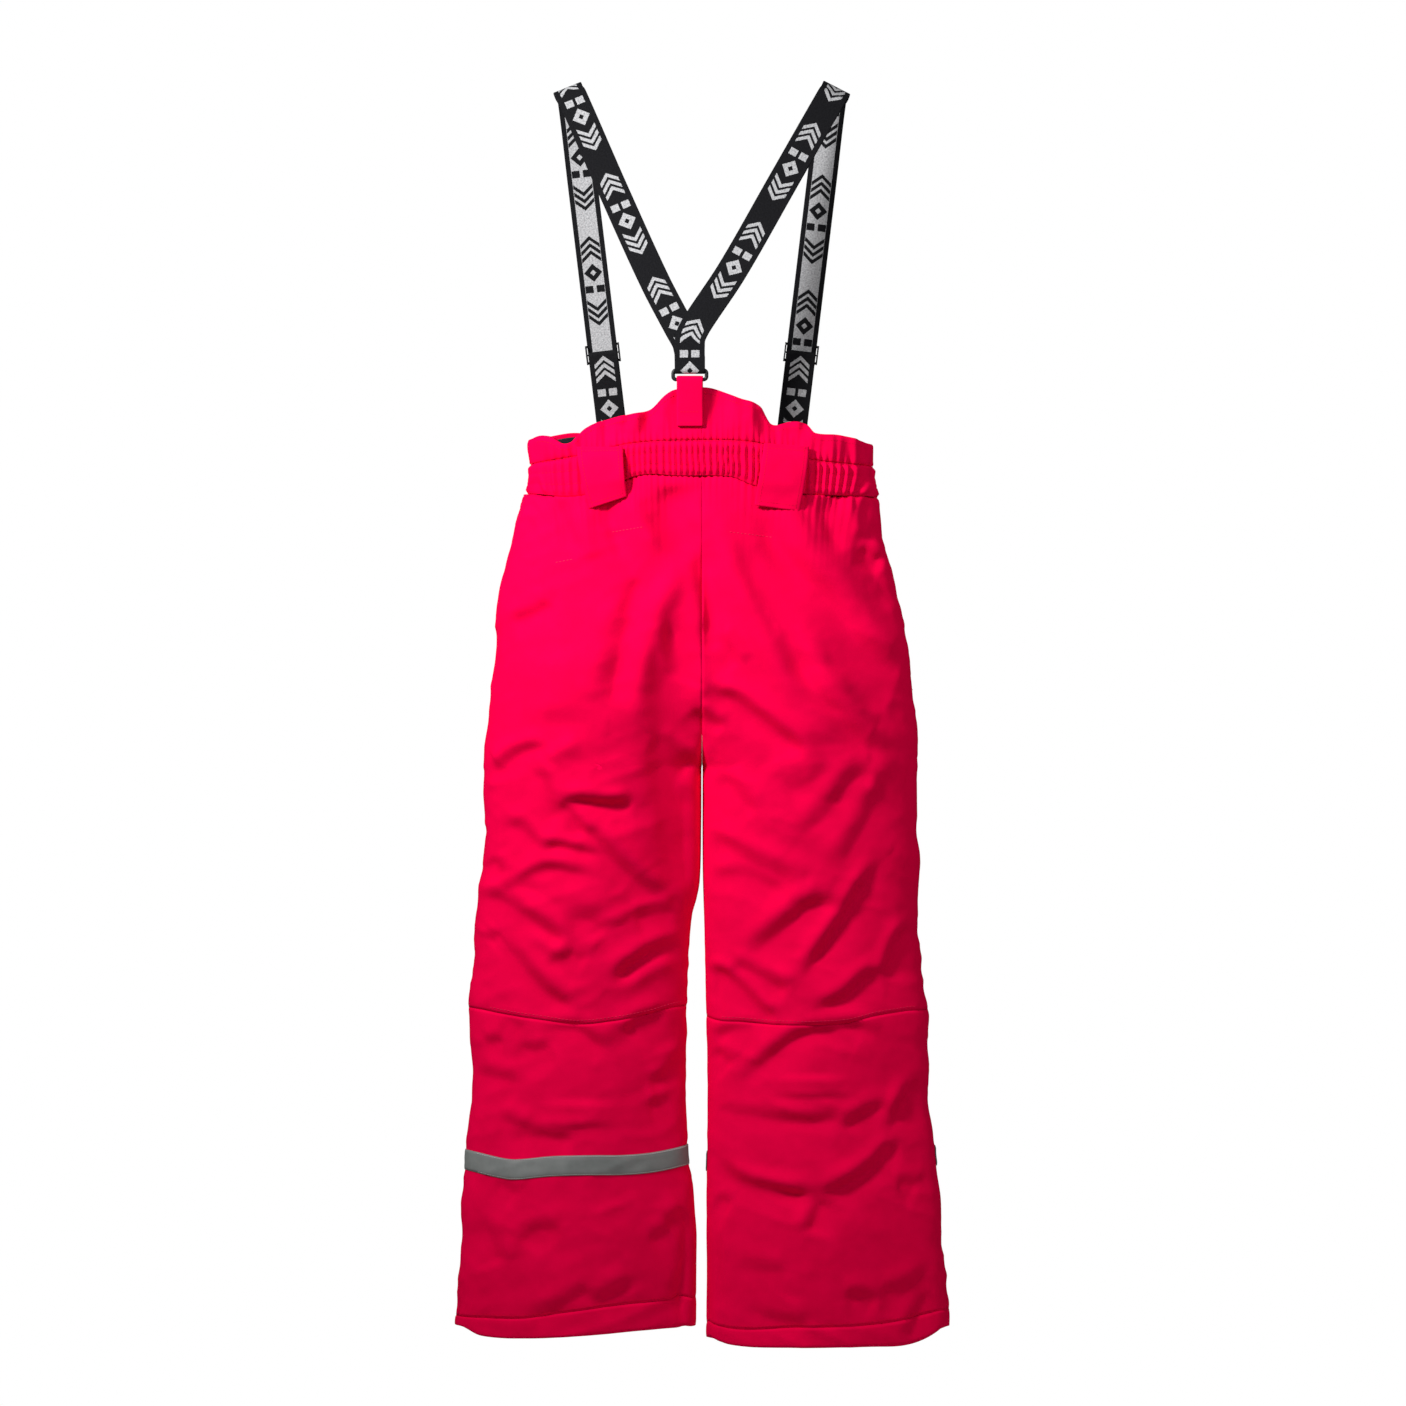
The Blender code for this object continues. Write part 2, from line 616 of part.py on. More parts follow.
def surface_depth(x, z):
    """The depth of the outer surface at a distance from the centre and a height."""
    middle, half_width, half_depth = section(z)
    part = min(1.0, abs((x - middle) / half_width))
    return half_depth * (1 - part ** ROUNDNESS) ** (1 / ROUNDNESS)


# ---------------------------------------------------------------- zips and closure

def zip_frame(top, bottom):
    """A straight line against the front's curve: y down it, z out of the surface."""
    middle = (top + bottom) / 2
    reach = Vector((ZIP_HALF_WIDTH, 0, 0))
    across = on_front(middle + reach) - on_front(middle - reach)
    return frame_at(top, across, bottom - top), (bottom - top).length


def lift_clear(frame, length, sampler):
    """Raise a zip's frame until the surface lies under all of its tape."""
    inverse = frame.inverted()
    highest = 0.0
    for step in range(25):
        for across in (-1.0, -0.5, 0.0, 0.5, 1.0):
            place = frame @ Vector((across * ZIP_HALF_WIDTH, between(0, length, step, 24), 0))
            highest = max(highest, (inverse @ sampler(place)).z)
    frame.translation = frame @ Vector((0, 0, highest + 0.0003))
    return frame


def on_front(place):
    return Vector((place.x, surface_depth(abs(place.x), place.z), place.z))


def make_zip(name, top, bottom, rest):
    """Tape with its closed coil, the slider at rest part of the way down, and its hanging pull."""
    frame, length = zip_frame(top, bottom)
    frame = lift_clear(frame, length, on_front)
    half, coil = ZIP_HALF_WIDTH, 0.0020
    outline = [(-half, 0), (half, 0), (half, 0.0006), (coil, 0.0006), (coil, 0.0011), (-coil, 0.0011),
               (-coil, 0.0006), (-half, 0.0006)]
    prism(f"{name}_tape", outline, 0.0, length, frame, material("zip_tape", BLACK, 0.8))
    place = frame.copy()
    place.translation = frame @ Vector((0, rest, 0))
    lines = ([-0.0035, -0.0011, 0.0011, 0.0035], [-0.005, -0.0035, -0.0023, 0.0023, 0.0035, 0.005],
             [0.0014, 0.0033, 0.0055, 0.0065])
    boxes = [((-0.0035, -0.005, 0.0014), (0.0035, 0.005, 0.0033)),
             ((-0.0011, -0.0035, 0.0033), (0.0011, -0.0023, 0.0065)),
             ((-0.0011, 0.0023, 0.0033), (0.0011, 0.0035, 0.0065)),
             ((-0.0011, -0.0035, 0.0055), (0.0011, 0.0035, 0.0065))]
    slider = blocks(f"{name}_slider", lines, boxes, place, black_plastic())
    set_origin(slider, place.translation)
    pull = place.copy()
    pull.translation = place @ Vector((0, PULL_LENGTH / 2, PULL_AXIS_OUT))
    item = ring_frame(f"{name}_pull", 0.0110, PULL_LENGTH, 0.002, 0.0007, pull, black_plastic())
    set_origin(item, place @ Vector((0, 0, PULL_AXIS_OUT)))


def make_pocket(side):
    name = SIDE_NAME[side]
    top = shell_point(side, FRONT, 0.42, -0.462)
    bottom = shell_point(side, FRONT, 0.27, -0.600)
    make_zip(f"pocket_zip_{name}", top, bottom, 0.010)
    panel(f"pocket_bag_{name}", side, FRONT, -0.478, -0.630, 3, 0.0105, 0.0135, lining_fabric(), 0.24, 0.62,
          4)


def make_closure():
    """The snap tab across the centre front, and its snap."""
    low_z, high_z = -0.409, -0.383
    start_x, end_x = -0.014, 0.036
    depth = max(surface_depth(abs(x), low_z) for x in (start_x, 0.0, end_x))
    inner, outer = depth + 0.0019, depth + 0.0037
    outline = [(start_x + 0.0009, inner), (end_x - 0.004, inner), (end_x, inner + 0.0006),
               (end_x, outer - 0.0004), (end_x - 0.001, outer), (start_x + 0.0009, outer),
               (start_x + 0.0002, (inner + outer) / 2 + 0.0004),
               (start_x + 0.0002, (inner + outer) / 2 - 0.0004)]
    upright = Matrix(((1, 0, 0), (0, 0, 1), (0, 1, 0))).to_4x4()
    tab = prism("closure_tab", outline, low_z, high_z, upright, shell_fabric())
    set_origin(tab, (start_x, (inner + outer) / 2, (low_z + high_z) / 2))
    for name, radius, height, start in (("snap_cap", 0.0075, 0.0020, outer + 0.0003),
                                        ("snap_stud", 0.0055, 0.0012, depth + 0.0003)):
        facing = frame_at(Vector((0.022, start, (low_z + high_z) / 2)), Vector((-1, 0, 0)),
                          Vector((0, 0, 1)))
        disc(name, radius, 0.0006, height, facing, material("snap_metal", GREY, 0.3, 1.0))


def build():
    clear_scene()
    for side in (LEFT, RIGHT):
        make_legs(side)
        make_gaiter(side)
        make_belt_loop(side)
        make_pocket(side)
    make_reflective_tape(LEFT, BACK)
    make_reflective_tape(RIGHT, FRONT)
    make_waist()
    make_suspenders()
    make_zip("fly_zip", Vector((0, surface_depth(0, FLY_TOP_Z), FLY_TOP_Z)),
             Vector((0, surface_depth(0, FLY_BOTTOM_Z), FLY_BOTTOM_Z)), 0.008)
    make_closure()


build()
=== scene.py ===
"""Junior ski pants hanging by their suspenders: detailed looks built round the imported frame.

The frame's own axes are kept: +Z is up, the wearer faces +Y, +X is the wearer's right, metres. Each cloth
layer is a dense closed sheet laid over the same oval sections as the CAD part, pushed out and in by folds.
A fold is a line of (x, z) points on the back or the front, with a depth and a width.
"""
import json
from math import cos, pi, radians, sin

import bmesh
import bpy
import numpy as np
from mathutils import Matrix, Vector

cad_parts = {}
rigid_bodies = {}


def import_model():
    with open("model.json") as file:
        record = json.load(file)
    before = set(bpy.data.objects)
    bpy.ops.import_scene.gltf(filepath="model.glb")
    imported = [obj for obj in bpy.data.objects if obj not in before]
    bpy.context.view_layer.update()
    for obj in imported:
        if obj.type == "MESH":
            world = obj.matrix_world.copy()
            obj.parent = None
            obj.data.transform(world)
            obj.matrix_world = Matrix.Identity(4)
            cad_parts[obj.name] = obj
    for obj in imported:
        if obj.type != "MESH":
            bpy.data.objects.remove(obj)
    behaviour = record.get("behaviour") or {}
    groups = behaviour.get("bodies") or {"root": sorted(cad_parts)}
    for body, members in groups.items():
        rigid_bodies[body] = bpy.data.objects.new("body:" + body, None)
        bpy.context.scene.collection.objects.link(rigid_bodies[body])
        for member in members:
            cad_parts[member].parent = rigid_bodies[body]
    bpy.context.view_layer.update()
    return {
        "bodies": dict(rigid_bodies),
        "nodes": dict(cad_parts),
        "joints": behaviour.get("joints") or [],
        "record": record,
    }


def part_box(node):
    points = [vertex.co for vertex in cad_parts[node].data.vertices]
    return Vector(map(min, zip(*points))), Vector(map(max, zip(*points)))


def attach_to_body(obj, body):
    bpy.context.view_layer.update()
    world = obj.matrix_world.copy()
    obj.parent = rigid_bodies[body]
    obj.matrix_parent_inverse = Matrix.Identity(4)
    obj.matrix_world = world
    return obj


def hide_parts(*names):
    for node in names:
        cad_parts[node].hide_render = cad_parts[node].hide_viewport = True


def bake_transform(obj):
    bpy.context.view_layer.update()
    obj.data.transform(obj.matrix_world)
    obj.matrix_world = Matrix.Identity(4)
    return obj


LEFT, RIGHT = -1, 1
BACK, FRONT = -1, 1
SIDE_NAME = {LEFT: "left", RIGHT: "right"}

# ---------------------------------------------------------------- outline of the garment

CROTCH_Z = -0.680
# The outline of each leg: (height, distance from the centre)
OUTER = {
    LEFT: [(-0.300, 0.173), (-0.358, 0.173), (-0.378, 0.171), (-0.395, 0.171), (-0.415, 0.176),
           (-0.435, 0.184), (-0.475, 0.195), (-0.515, 0.204), (-0.560, 0.206), (-0.635, 0.213),
           (-0.675, 0.218), (-0.755, 0.218), (-0.795, 0.2235), (-0.855, 0.2265), (-0.915, 0.232),
           (-0.975, 0.230), (-1.015, 0.231), (-1.055, 0.234), (-1.095, 0.239), (-1.155, 0.240),
           (-1.195, 0.244), (-1.235, 0.249), (-1.262, 0.249)],
    RIGHT: [(-0.300, 0.173), (-0.378, 0.171), (-0.395, 0.170), (-0.415, 0.176), (-0.455, 0.181),
            (-0.495, 0.190), (-0.535, 0.200), (-0.595, 0.209), (-0.675, 0.215), (-0.755, 0.216),
            (-0.855, 0.218), (-0.905, 0.221), (-0.935, 0.227), (-0.965, 0.2255), (-1.015, 0.228),
            (-1.055, 0.232), (-1.115, 0.237), (-1.155, 0.2395), (-1.195, 0.246), (-1.235, 0.250),
            (-1.262, 0.2505)],
}
INNER = {
    LEFT: [(-0.680, 0.0004), (-0.740, 0.0006), (-0.795, 0.0020), (-0.830, 0.0075), (-0.900, 0.010),
           (-1.060, 0.0105), (-1.110, 0.007), (-1.150, 0.004), (-1.262, 0.003)],
    RIGHT: [(-0.680, 0.0004), (-0.780, 0.0005), (-0.840, 0.0020), (-0.900, 0.003), (-1.020, 0.0045),
            (-1.150, 0.0035), (-1.262, 0.0015)],
}
HALF_DEPTH = [(-0.300, 0.042), (-0.340, 0.047), (-0.378, 0.051), (-0.415, 0.0545), (-0.480, 0.063),
              (-0.560, 0.069), (-0.640, 0.068), (-0.720, 0.064), (-0.800, 0.058), (-0.930, 0.050),
              (-1.080, 0.045), (-1.262, 0.042)]
PARTING = [(-0.415, 0.0), (-0.500, 0.14), (-0.560, 0.38), (-0.620, 0.70), (-0.655, 0.90), (-0.680, 1.0)]
ROUNDNESS = 2.4

# Heights of the edges and seams across the garment: (x, z)
TOP_EDGE = {
    BACK: [(-0.174, -0.356), (-0.160, -0.352), (-0.149, -0.354), (-0.140, -0.3600), (-0.131, -0.3595),
           (-0.118, -0.346), (-0.0995, -0.3375), (-0.073, -0.332), (-0.0514, -0.327), (-0.0365, -0.313),
           (-0.025, -0.3070), (0.0067, -0.3056), (0.0365, -0.3156), (0.058, -0.324), (0.0697, -0.3414),
           (0.0896, -0.3388), (0.1045, -0.3414), (0.112, -0.350), (0.136, -0.352), (0.1725, -0.3600)],
    FRONT: [(-0.174, -0.356), (-0.130, -0.346), (-0.080, -0.352), (-0.030, -0.350), (0.030, -0.352),
            (0.080, -0.351), (0.130, -0.353), (0.1725, -0.3600)],
}
CHANNEL_TOP = {
    BACK: [(-0.171, -0.3796), (-0.120, -0.372), (-0.071, -0.361), (-0.013, -0.358), (0.053, -0.3600),
           (0.106, -0.376), (0.169, -0.382)],
    FRONT: [(-0.171, -0.3796), (-0.100, -0.378), (0.100, -0.378), (0.169, -0.382)],
}
WAIST_SEAM = {
    BACK: [(-0.174, -0.4094), (-0.119, -0.4127), (-0.063, -0.3930), (-0.023, -0.3935), (0.030, -0.3945),
           (0.052, -0.4028), (0.0995, -0.411), (0.1725, -0.4127)],
    FRONT: [(-0.174, -0.4094), (-0.120, -0.414), (0.0, -0.415), (0.120, -0.415), (0.1725, -0.4127)],
}
KNEE_SEAM = [(-0.228, -0.9217), (-0.201, -0.9265), (-0.159, -0.932), (-0.124, -0.936), (-0.090, -0.933),
             (-0.055, -0.9274), (-0.011, -0.920), (0.0075, -0.9325), (0.036, -0.9346), (0.075, -0.9368),
             (0.140, -0.9357), (0.170, -0.929), (0.209, -0.9238)]
HEM_SEAM = [(-0.250, -1.2307), (-0.180, -1.2300), (-0.137, -1.2236), (-0.083, -1.2164), (-0.030, -1.2129),
            (-0.003, -1.2125), (0.003, -1.2385), (0.100, -1.2385), (0.180, -1.235), (0.250, -1.224)]
HEM_BOTTOM = [(-0.249, -1.240), (-0.226, -1.2490), (-0.173, -1.2500), (-0.119, -1.2468),
              (-0.066, -1.243), (-0.016, -1.241), (-0.003, -1.241), (0.003, -1.253), (0.0326, -1.259),
              (0.095, -1.259), (0.166, -1.258), (0.202, -1.258), (0.229, -1.252), (0.2505, -1.241)]
TAPE_LINE = {
    LEFT: [(-0.235, -1.0735), (-0.205, -1.0795), (-0.187, -1.0810), (-0.148, -1.0770), (-0.110, -1.0757),
           (-0.078, -1.0760), (-0.045, -1.0740), (-0.005, -1.0677)],
    RIGHT: [(0.003, -1.0760), (0.080, -1.0790), (0.160, -1.0785), (0.235, -1.0700)],
}

# ---------------------------------------------------------------- cloth

SHELL = 0.0040
BAND = 0.0035
LINING = 0.0150              # how far inside the outer surface the lining hangs
FLEECE = 0.0074
ELASTIC = 0.0050
CELL = 0.0030                # spacing of the shell's mesh
TAPE_WIDTH = 0.020
GATHER_PERIOD = 0.0072       # of the smocked waistband
FOLD_SCALE = 1.75            # how much deeper the folds are than listed
SEAT_EXTRA = 0.45            # and how much deeper again on the seat

# ---------------------------------------------------------------- suspenders and trims

STRAP_WIDTH, STRAP = 0.030, 0.0015
STRAP_TOP_X, STRAP_TOP = 0.130, 0.012
Y_JOINT_X = -0.012
BACK_RING = Vector((Y_JOINT_X, -0.051, -0.2935))
BACK_RING_WIDTH, BACK_RING_HEIGHT = 0.0330, 0.0092
BACK_Y_Z = -0.262            # where the two back straps meet
FRONT_RING_TOP = (0.0905, 0.053, -0.345)
RING_WIDTH, RING_HEIGHT, RING_BAR = 0.038, 0.020, 0.0019
CLEAR = 0.0004
WRAP = RING_BAR + CLEAR + STRAP / 2
ADJUSTER_DROP = 0.257
ADJUSTER_BAR_OUT, ADJUSTER_WRAP = 0.0041, 0.0021
ZIP_HALF_WIDTH = 0.009

# ---------------------------------------------------------------- folds

# Each fold is (depth in mm, width in mm, points). It is a sharp valley with a fuller bulge above it.
BACK_VALLEYS = [
    # seat, to the wearer's left
    (2.6, 6, [(-0.193, -0.539), (-0.170, -0.531), (-0.147, -0.519)]),
    (2.4, 12, [(-0.063, -0.521), (-0.078, -0.553), (-0.086, -0.592), (-0.090, -0.622)]),
    (3.0, 7, [(-0.034, -0.532), (-0.023, -0.578), (-0.027, -0.595)]),
    (5.5, 7, [(-0.045, -0.652), (-0.032, -0.662), (-0.015, -0.676), (-0.004, -0.684)]),
    (4.0, 7, [(-0.038, -0.672), (-0.030, -0.687), (-0.017, -0.722)]),
    (3.4, 6, [(-0.212, -0.684), (-0.203, -0.683), (-0.191, -0.672), (-0.174, -0.665), (-0.155, -0.662)]),
    (3.2, 8, [(-0.180, -0.6815), (-0.1625, -0.691), (-0.155, -0.7045), (-0.147, -0.7255), (-0.139, -0.741)]),
    (4.6, 6, [(-0.1395, -0.715), (-0.1165, -0.716), (-0.090, -0.719), (-0.067, -0.718)]),
    (3.0, 6, [(-0.1395, -0.715), (-0.128, -0.731), (-0.1165, -0.752)]),
    (4.2, 8, [(-0.128, -0.731), (-0.099, -0.760), (-0.080, -0.781), (-0.0515, -0.806), (-0.030, -0.812)]),
    (2.6, 5, [(-0.157, -0.764), (-0.143, -0.760), (-0.124, -0.764), (-0.099, -0.7695)]),
    (2.6, 7, [(-0.205, -0.741), (-0.185, -0.743), (-0.172, -0.752), (-0.1625, -0.766)]),
    (2.4, 7, [(-0.214, -0.773), (-0.201, -0.791)]),
    (2.8, 6, [(-0.185, -0.796), (-0.166, -0.787), (-0.147, -0.783), (-0.109, -0.789)]),
    (2.4, 7, [(-0.201, -0.806), (-0.182, -0.800), (-0.1625, -0.806)]),
    (4.0, 8, [(-0.2256, -0.810), (-0.2046, -0.8145), (-0.185, -0.826), (-0.166, -0.8375), (-0.147, -0.849),
              (-0.1376, -0.8566)]),
    (4.0, 8, [(-0.203, -0.853), (-0.185, -0.874), (-0.166, -0.895), (-0.147, -0.910), (-0.124, -0.9236)]),
    (2.4, 6, [(-0.216, -0.857), (-0.203, -0.847)]),
    (2.0, 10, [(-0.155, -0.878), (-0.128, -0.868), (-0.113, -0.876)]),
    (2.0, 10, [(-0.1395, -0.832), (-0.109, -0.834), (-0.097, -0.849)]),
    (4.8, 8, [(-0.012, -0.8590), (-0.036, -0.864), (-0.055, -0.872), (-0.0725, -0.883), (-0.086, -0.895)]),
    (3.0, 7, [(-0.067, -0.832), (-0.048, -0.828), (-0.023, -0.826)]),
    # knee and calf, left
    (2.0, 7, [(-0.199, -0.931), (-0.178, -0.943)]),
    (2.6, 7, [(-0.159, -0.943), (-0.128, -0.941), (-0.113, -0.9485), (-0.0955, -0.966)]),
    (2.0, 7, [(-0.185, -0.958), (-0.166, -0.964), (-0.149, -0.958)]),
    (2.2, 6, [(-0.218, -0.958), (-0.199, -0.954)]),
    (2.6, 7, [(-0.0744, -0.9485), (-0.061, -0.935), (-0.032, -0.927)]),
    (2.2, 7, [(-0.2276, -0.9887), (-0.2046, -0.9906), (-0.180, -1.000)]),
    (2.6, 7, [(-0.0515, -0.996), (-0.032, -0.989), (-0.011, -0.962)]),
    (2.4, 7, [(-0.205, -1.0307), (-0.185, -1.038), (-0.169, -1.0414)]),
    (2.6, 7, [(-0.196, -1.054), (-0.173, -1.0486), (-0.146, -1.050), (-0.126, -1.052)]),
    (2.2, 7, [(-0.053, -1.020), (-0.026, -1.0146)]),
    (2.4, 8, [(-0.207, -1.093), (-0.183, -1.109)]),
    (2.6, 9, [(-0.223, -1.131), (-0.210, -1.159), (-0.203, -1.177)]),
    (2.2, 8, [(-0.180, -1.156), (-0.167, -1.143), (-0.137, -1.1396)]),
    (2.4, 8, [(-0.051, -1.154), (-0.026, -1.143)]),
    (2.4, 8, [(-0.033, -1.1396), (-0.012, -1.1236)]),
    (2.2, 8, [(-0.182, -1.227), (-0.155, -1.225), (-0.137, -1.216), (-0.119, -1.2057), (-0.1013, -1.200)]),
    (2.2, 8, [(-0.108, -1.218), (-0.092, -1.209), (-0.066, -1.193)]),
    # seat and thigh, to the wearer's right
    (5.0, 13, [(0.051, -0.439), (0.072, -0.458), (0.093, -0.4867), (0.122, -0.515), (0.141, -0.538),
               (0.1564, -0.561), (0.1794, -0.580), (0.2004, -0.587)]),
    (4.0, 10, [(0.078, -0.550), (0.095, -0.5766), (0.1105, -0.6034), (0.1296, -0.6264), (0.1507, -0.651),
               (0.166, -0.6627), (0.1985, -0.6685)]),
    (3.0, 7, [(0.011, -0.550), (0.0224, -0.565), (0.034, -0.584)]),
    (4.0, 7, [(0.005, -0.6015), (0.0167, -0.611), (0.032, -0.6168), (0.051, -0.630), (0.074, -0.6474),
              (0.091, -0.6608), (0.097, -0.676)]),
    (3.0, 6, [(-0.008, -0.624), (0.003, -0.634), (0.0186, -0.6436)]),
    (2.2, 6, [(0.160, -0.4637), (0.1717, -0.473), (0.181, -0.475)]),
    (2.4, 7, [(0.1526, -0.461), (0.175, -0.490), (0.1957, -0.524)]),
    (1.7, 9, [(0.166, -0.7278), (0.185, -0.699), (0.204, -0.672)]),
    (2.4, 9, [(0.126, -0.722), (0.151, -0.693), (0.172, -0.6895)]),
    (3.2, 8, [(0.0148, -0.6895), (0.032, -0.7105), (0.051, -0.728)]),
    (1.8, 12, [(0.078, -0.7105), (0.103, -0.699), (0.133, -0.682)]),
    (1.7, 9, [(0.096, -0.7536), (0.1225, -0.7275), (0.1485, -0.7058)]),
    (1.9, 9, [(0.1376, -0.7817), (0.1528, -0.7557), (0.1745, -0.721), (0.1897, -0.699)]),
    (4.4, 7, [(0.0986, -0.892), (0.1225, -0.8598), (0.144, -0.8295), (0.157, -0.8078), (0.183, -0.773)]),
    (4.0, 9, [(0.042, -0.8707), (0.064, -0.8555), (0.090, -0.8338), (0.1095, -0.8186), (0.1398, -0.8208)]),
    (3.8, 9, [(0.002, -0.7536), (0.0205, -0.762), (0.0444, -0.775), (0.0747, -0.788), (0.092, -0.803)]),
    (3.0, 7, [(0.005, -0.7926), (0.042, -0.7904), (0.0856, -0.810)]),
    (4.4, 6, [(0.003, -0.8858), (0.0184, -0.890), (0.040, -0.9075), (0.0596, -0.9249), (0.0726, -0.9314)]),
    (3.0, 7, [(0.0249, -0.8815), (0.042, -0.8837), (0.0704, -0.8967), (0.0856, -0.9054)]),
    (3.4, 7, [(0.1095, -0.9227), (0.1398, -0.9119), (0.1615, -0.8945), (0.183, -0.8815)]),
    (4.0, 7, [(0.2135, -0.838), (0.2005, -0.8555), (0.1919, -0.875), (0.1875, -0.8945)]),
    # knee and calf, right
    (2.6, 6, [(0.0097, -0.953), (0.0249, -0.9444), (0.053, -0.940)]),
    (3.4, 7, [(0.0314, -0.9986), (0.0596, -0.977), (0.0856, -0.955), (0.1095, -0.9444), (0.1528, -0.940),
              (0.1723, -0.951)]),
    (2.4, 7, [(0.0075, -0.964), (0.027, -0.979)]),
    (3.2, 8, [(0.2179, -0.994), (0.2049, -1.016), (0.194, -1.033)]),
    (2.6, 7, [(0.0094, -1.0236), (0.047, -1.029), (0.077, -1.0325), (0.113, -1.0334), (0.1416, -1.028)]),
    (2.6, 7, [(0.1416, -1.043), (0.152, -1.0325), (0.1737, -1.0218), (0.1898, -1.016)]),
    (2.6, 7, [(0.188, -1.043), (0.1987, -1.027), (0.2094, -1.009)]),
    (4.6, 7, [(0.0148, -1.0736), (0.027, -1.0896), (0.0398, -1.0968), (0.068, -1.103), (0.095, -1.1057),
              (0.120, -1.1075)]),
    (4.2, 7, [(0.120, -1.1057), (0.136, -1.100), (0.1576, -1.0879), (0.1755, -1.075), (0.188, -1.0646),
              (0.202, -1.061)]),
    (2.8, 7, [(0.120, -1.109), (0.113, -1.127), (0.106, -1.145)]),
    (2.4, 7, [(0.0112, -1.111), (0.027, -1.118)]),
    (2.4, 7, [(0.195, -1.0986), (0.204, -1.0968), (0.218, -1.102)]),
    (1.6, 9, [(0.0237, -1.1816), (0.059, -1.1825), (0.088, -1.184)]),
    (2.4, 8, [(0.177, -1.204), (0.193, -1.204), (0.213, -1.1968), (0.234, -1.179)]),
    (2.4, 7, [(0.1416, -1.209), (0.159, -1.2075), (0.177, -1.216)]),
    (2.2, 7, [(0.0416, -1.2146), (0.059, -1.229), (0.0809, -1.234), (0.109, -1.234)]),
    (2.6, 8, [(0.2309, -1.204), (0.220, -1.227), (0.211, -1.250)]),
]
# Rounded ridges, and with a minus sign plain hollows: (height in mm, width in mm, points)
BACK_RIDGES = [
    (-7.0, 9, [(0.0, -0.458), (0.003, -0.492), (0.010, -0.535), (0.004, -0.570)]),
    (-6.5, 15, [(-0.032, -0.400), (-0.026, -0.440), (-0.006, -0.476)]),
    (2.6, 9, [(-0.074, -0.408), (-0.060, -0.440), (-0.042, -0.474)]),
    (-2.4, 8, [(-0.098, -0.412), (-0.088, -0.446), (-0.076, -0.480)]),
    (2.2, 9, [(-0.122, -0.414), (-0.116, -0.446), (-0.106, -0.476)]),
    (-2.2, 8, [(-0.142, -0.412), (-0.138, -0.440), (-0.130, -0.466)]),
    (2.2, 8, [(0.086, -0.412), (0.094, -0.436), (0.106, -0.462)]),
    (-2.4, 9, [(0.116, -0.412), (0.126, -0.440), (0.140, -0.468)]),
    (2.0, 8, [(0.142, -0.412), (0.150, -0.434), (0.160, -0.456)]),
    (4.0, 13, [(-0.018, -0.474), (-0.034, -0.505), (-0.047, -0.535), (-0.059, -0.580), (-0.066, -0.649)]),
    (-2.6, 9, [(-0.063, -0.494), (-0.076, -0.535)]),
    (4.0, 13, [(0.013, -0.404), (0.026, -0.473), (0.0416, -0.5115), (0.0588, -0.550), (0.080, -0.588),
               (0.101, -0.624)]),
    (-2.4, 10, [(0.053, -0.427), (0.075, -0.468), (0.103, -0.507)]),
    (-6.0, 16, [(-0.022, -0.540), (-0.028, -0.611), (-0.026, -0.687), (-0.022, -0.760), (-0.018, -0.800)]),
    (2.6, 9, [(-0.118, -0.655), (-0.140, -0.664), (-0.155, -0.674)]),
    (3.0, 10, [(-0.180, -0.838), (-0.150, -0.858), (-0.128, -0.866)]),
    (3.0, 9, [(-0.020, -0.872), (-0.050, -0.882), (-0.080, -0.902)]),
    (3.0, 30, [(-0.150, -0.560), (-0.145, -0.640)]),
    (3.0, 34, [(0.120, -0.580), (0.125, -0.660)]),
    (2.5, 30, [(-0.120, -1.010), (-0.120, -1.040)]),
    (2.5, 30, [(0.110, -0.985), (0.110, -1.010)]),
    (-4.0, 12, [(-0.006, -1.124), (-0.006, -1.174), (-0.012, -1.2075), (-0.008, -1.235)]),
]
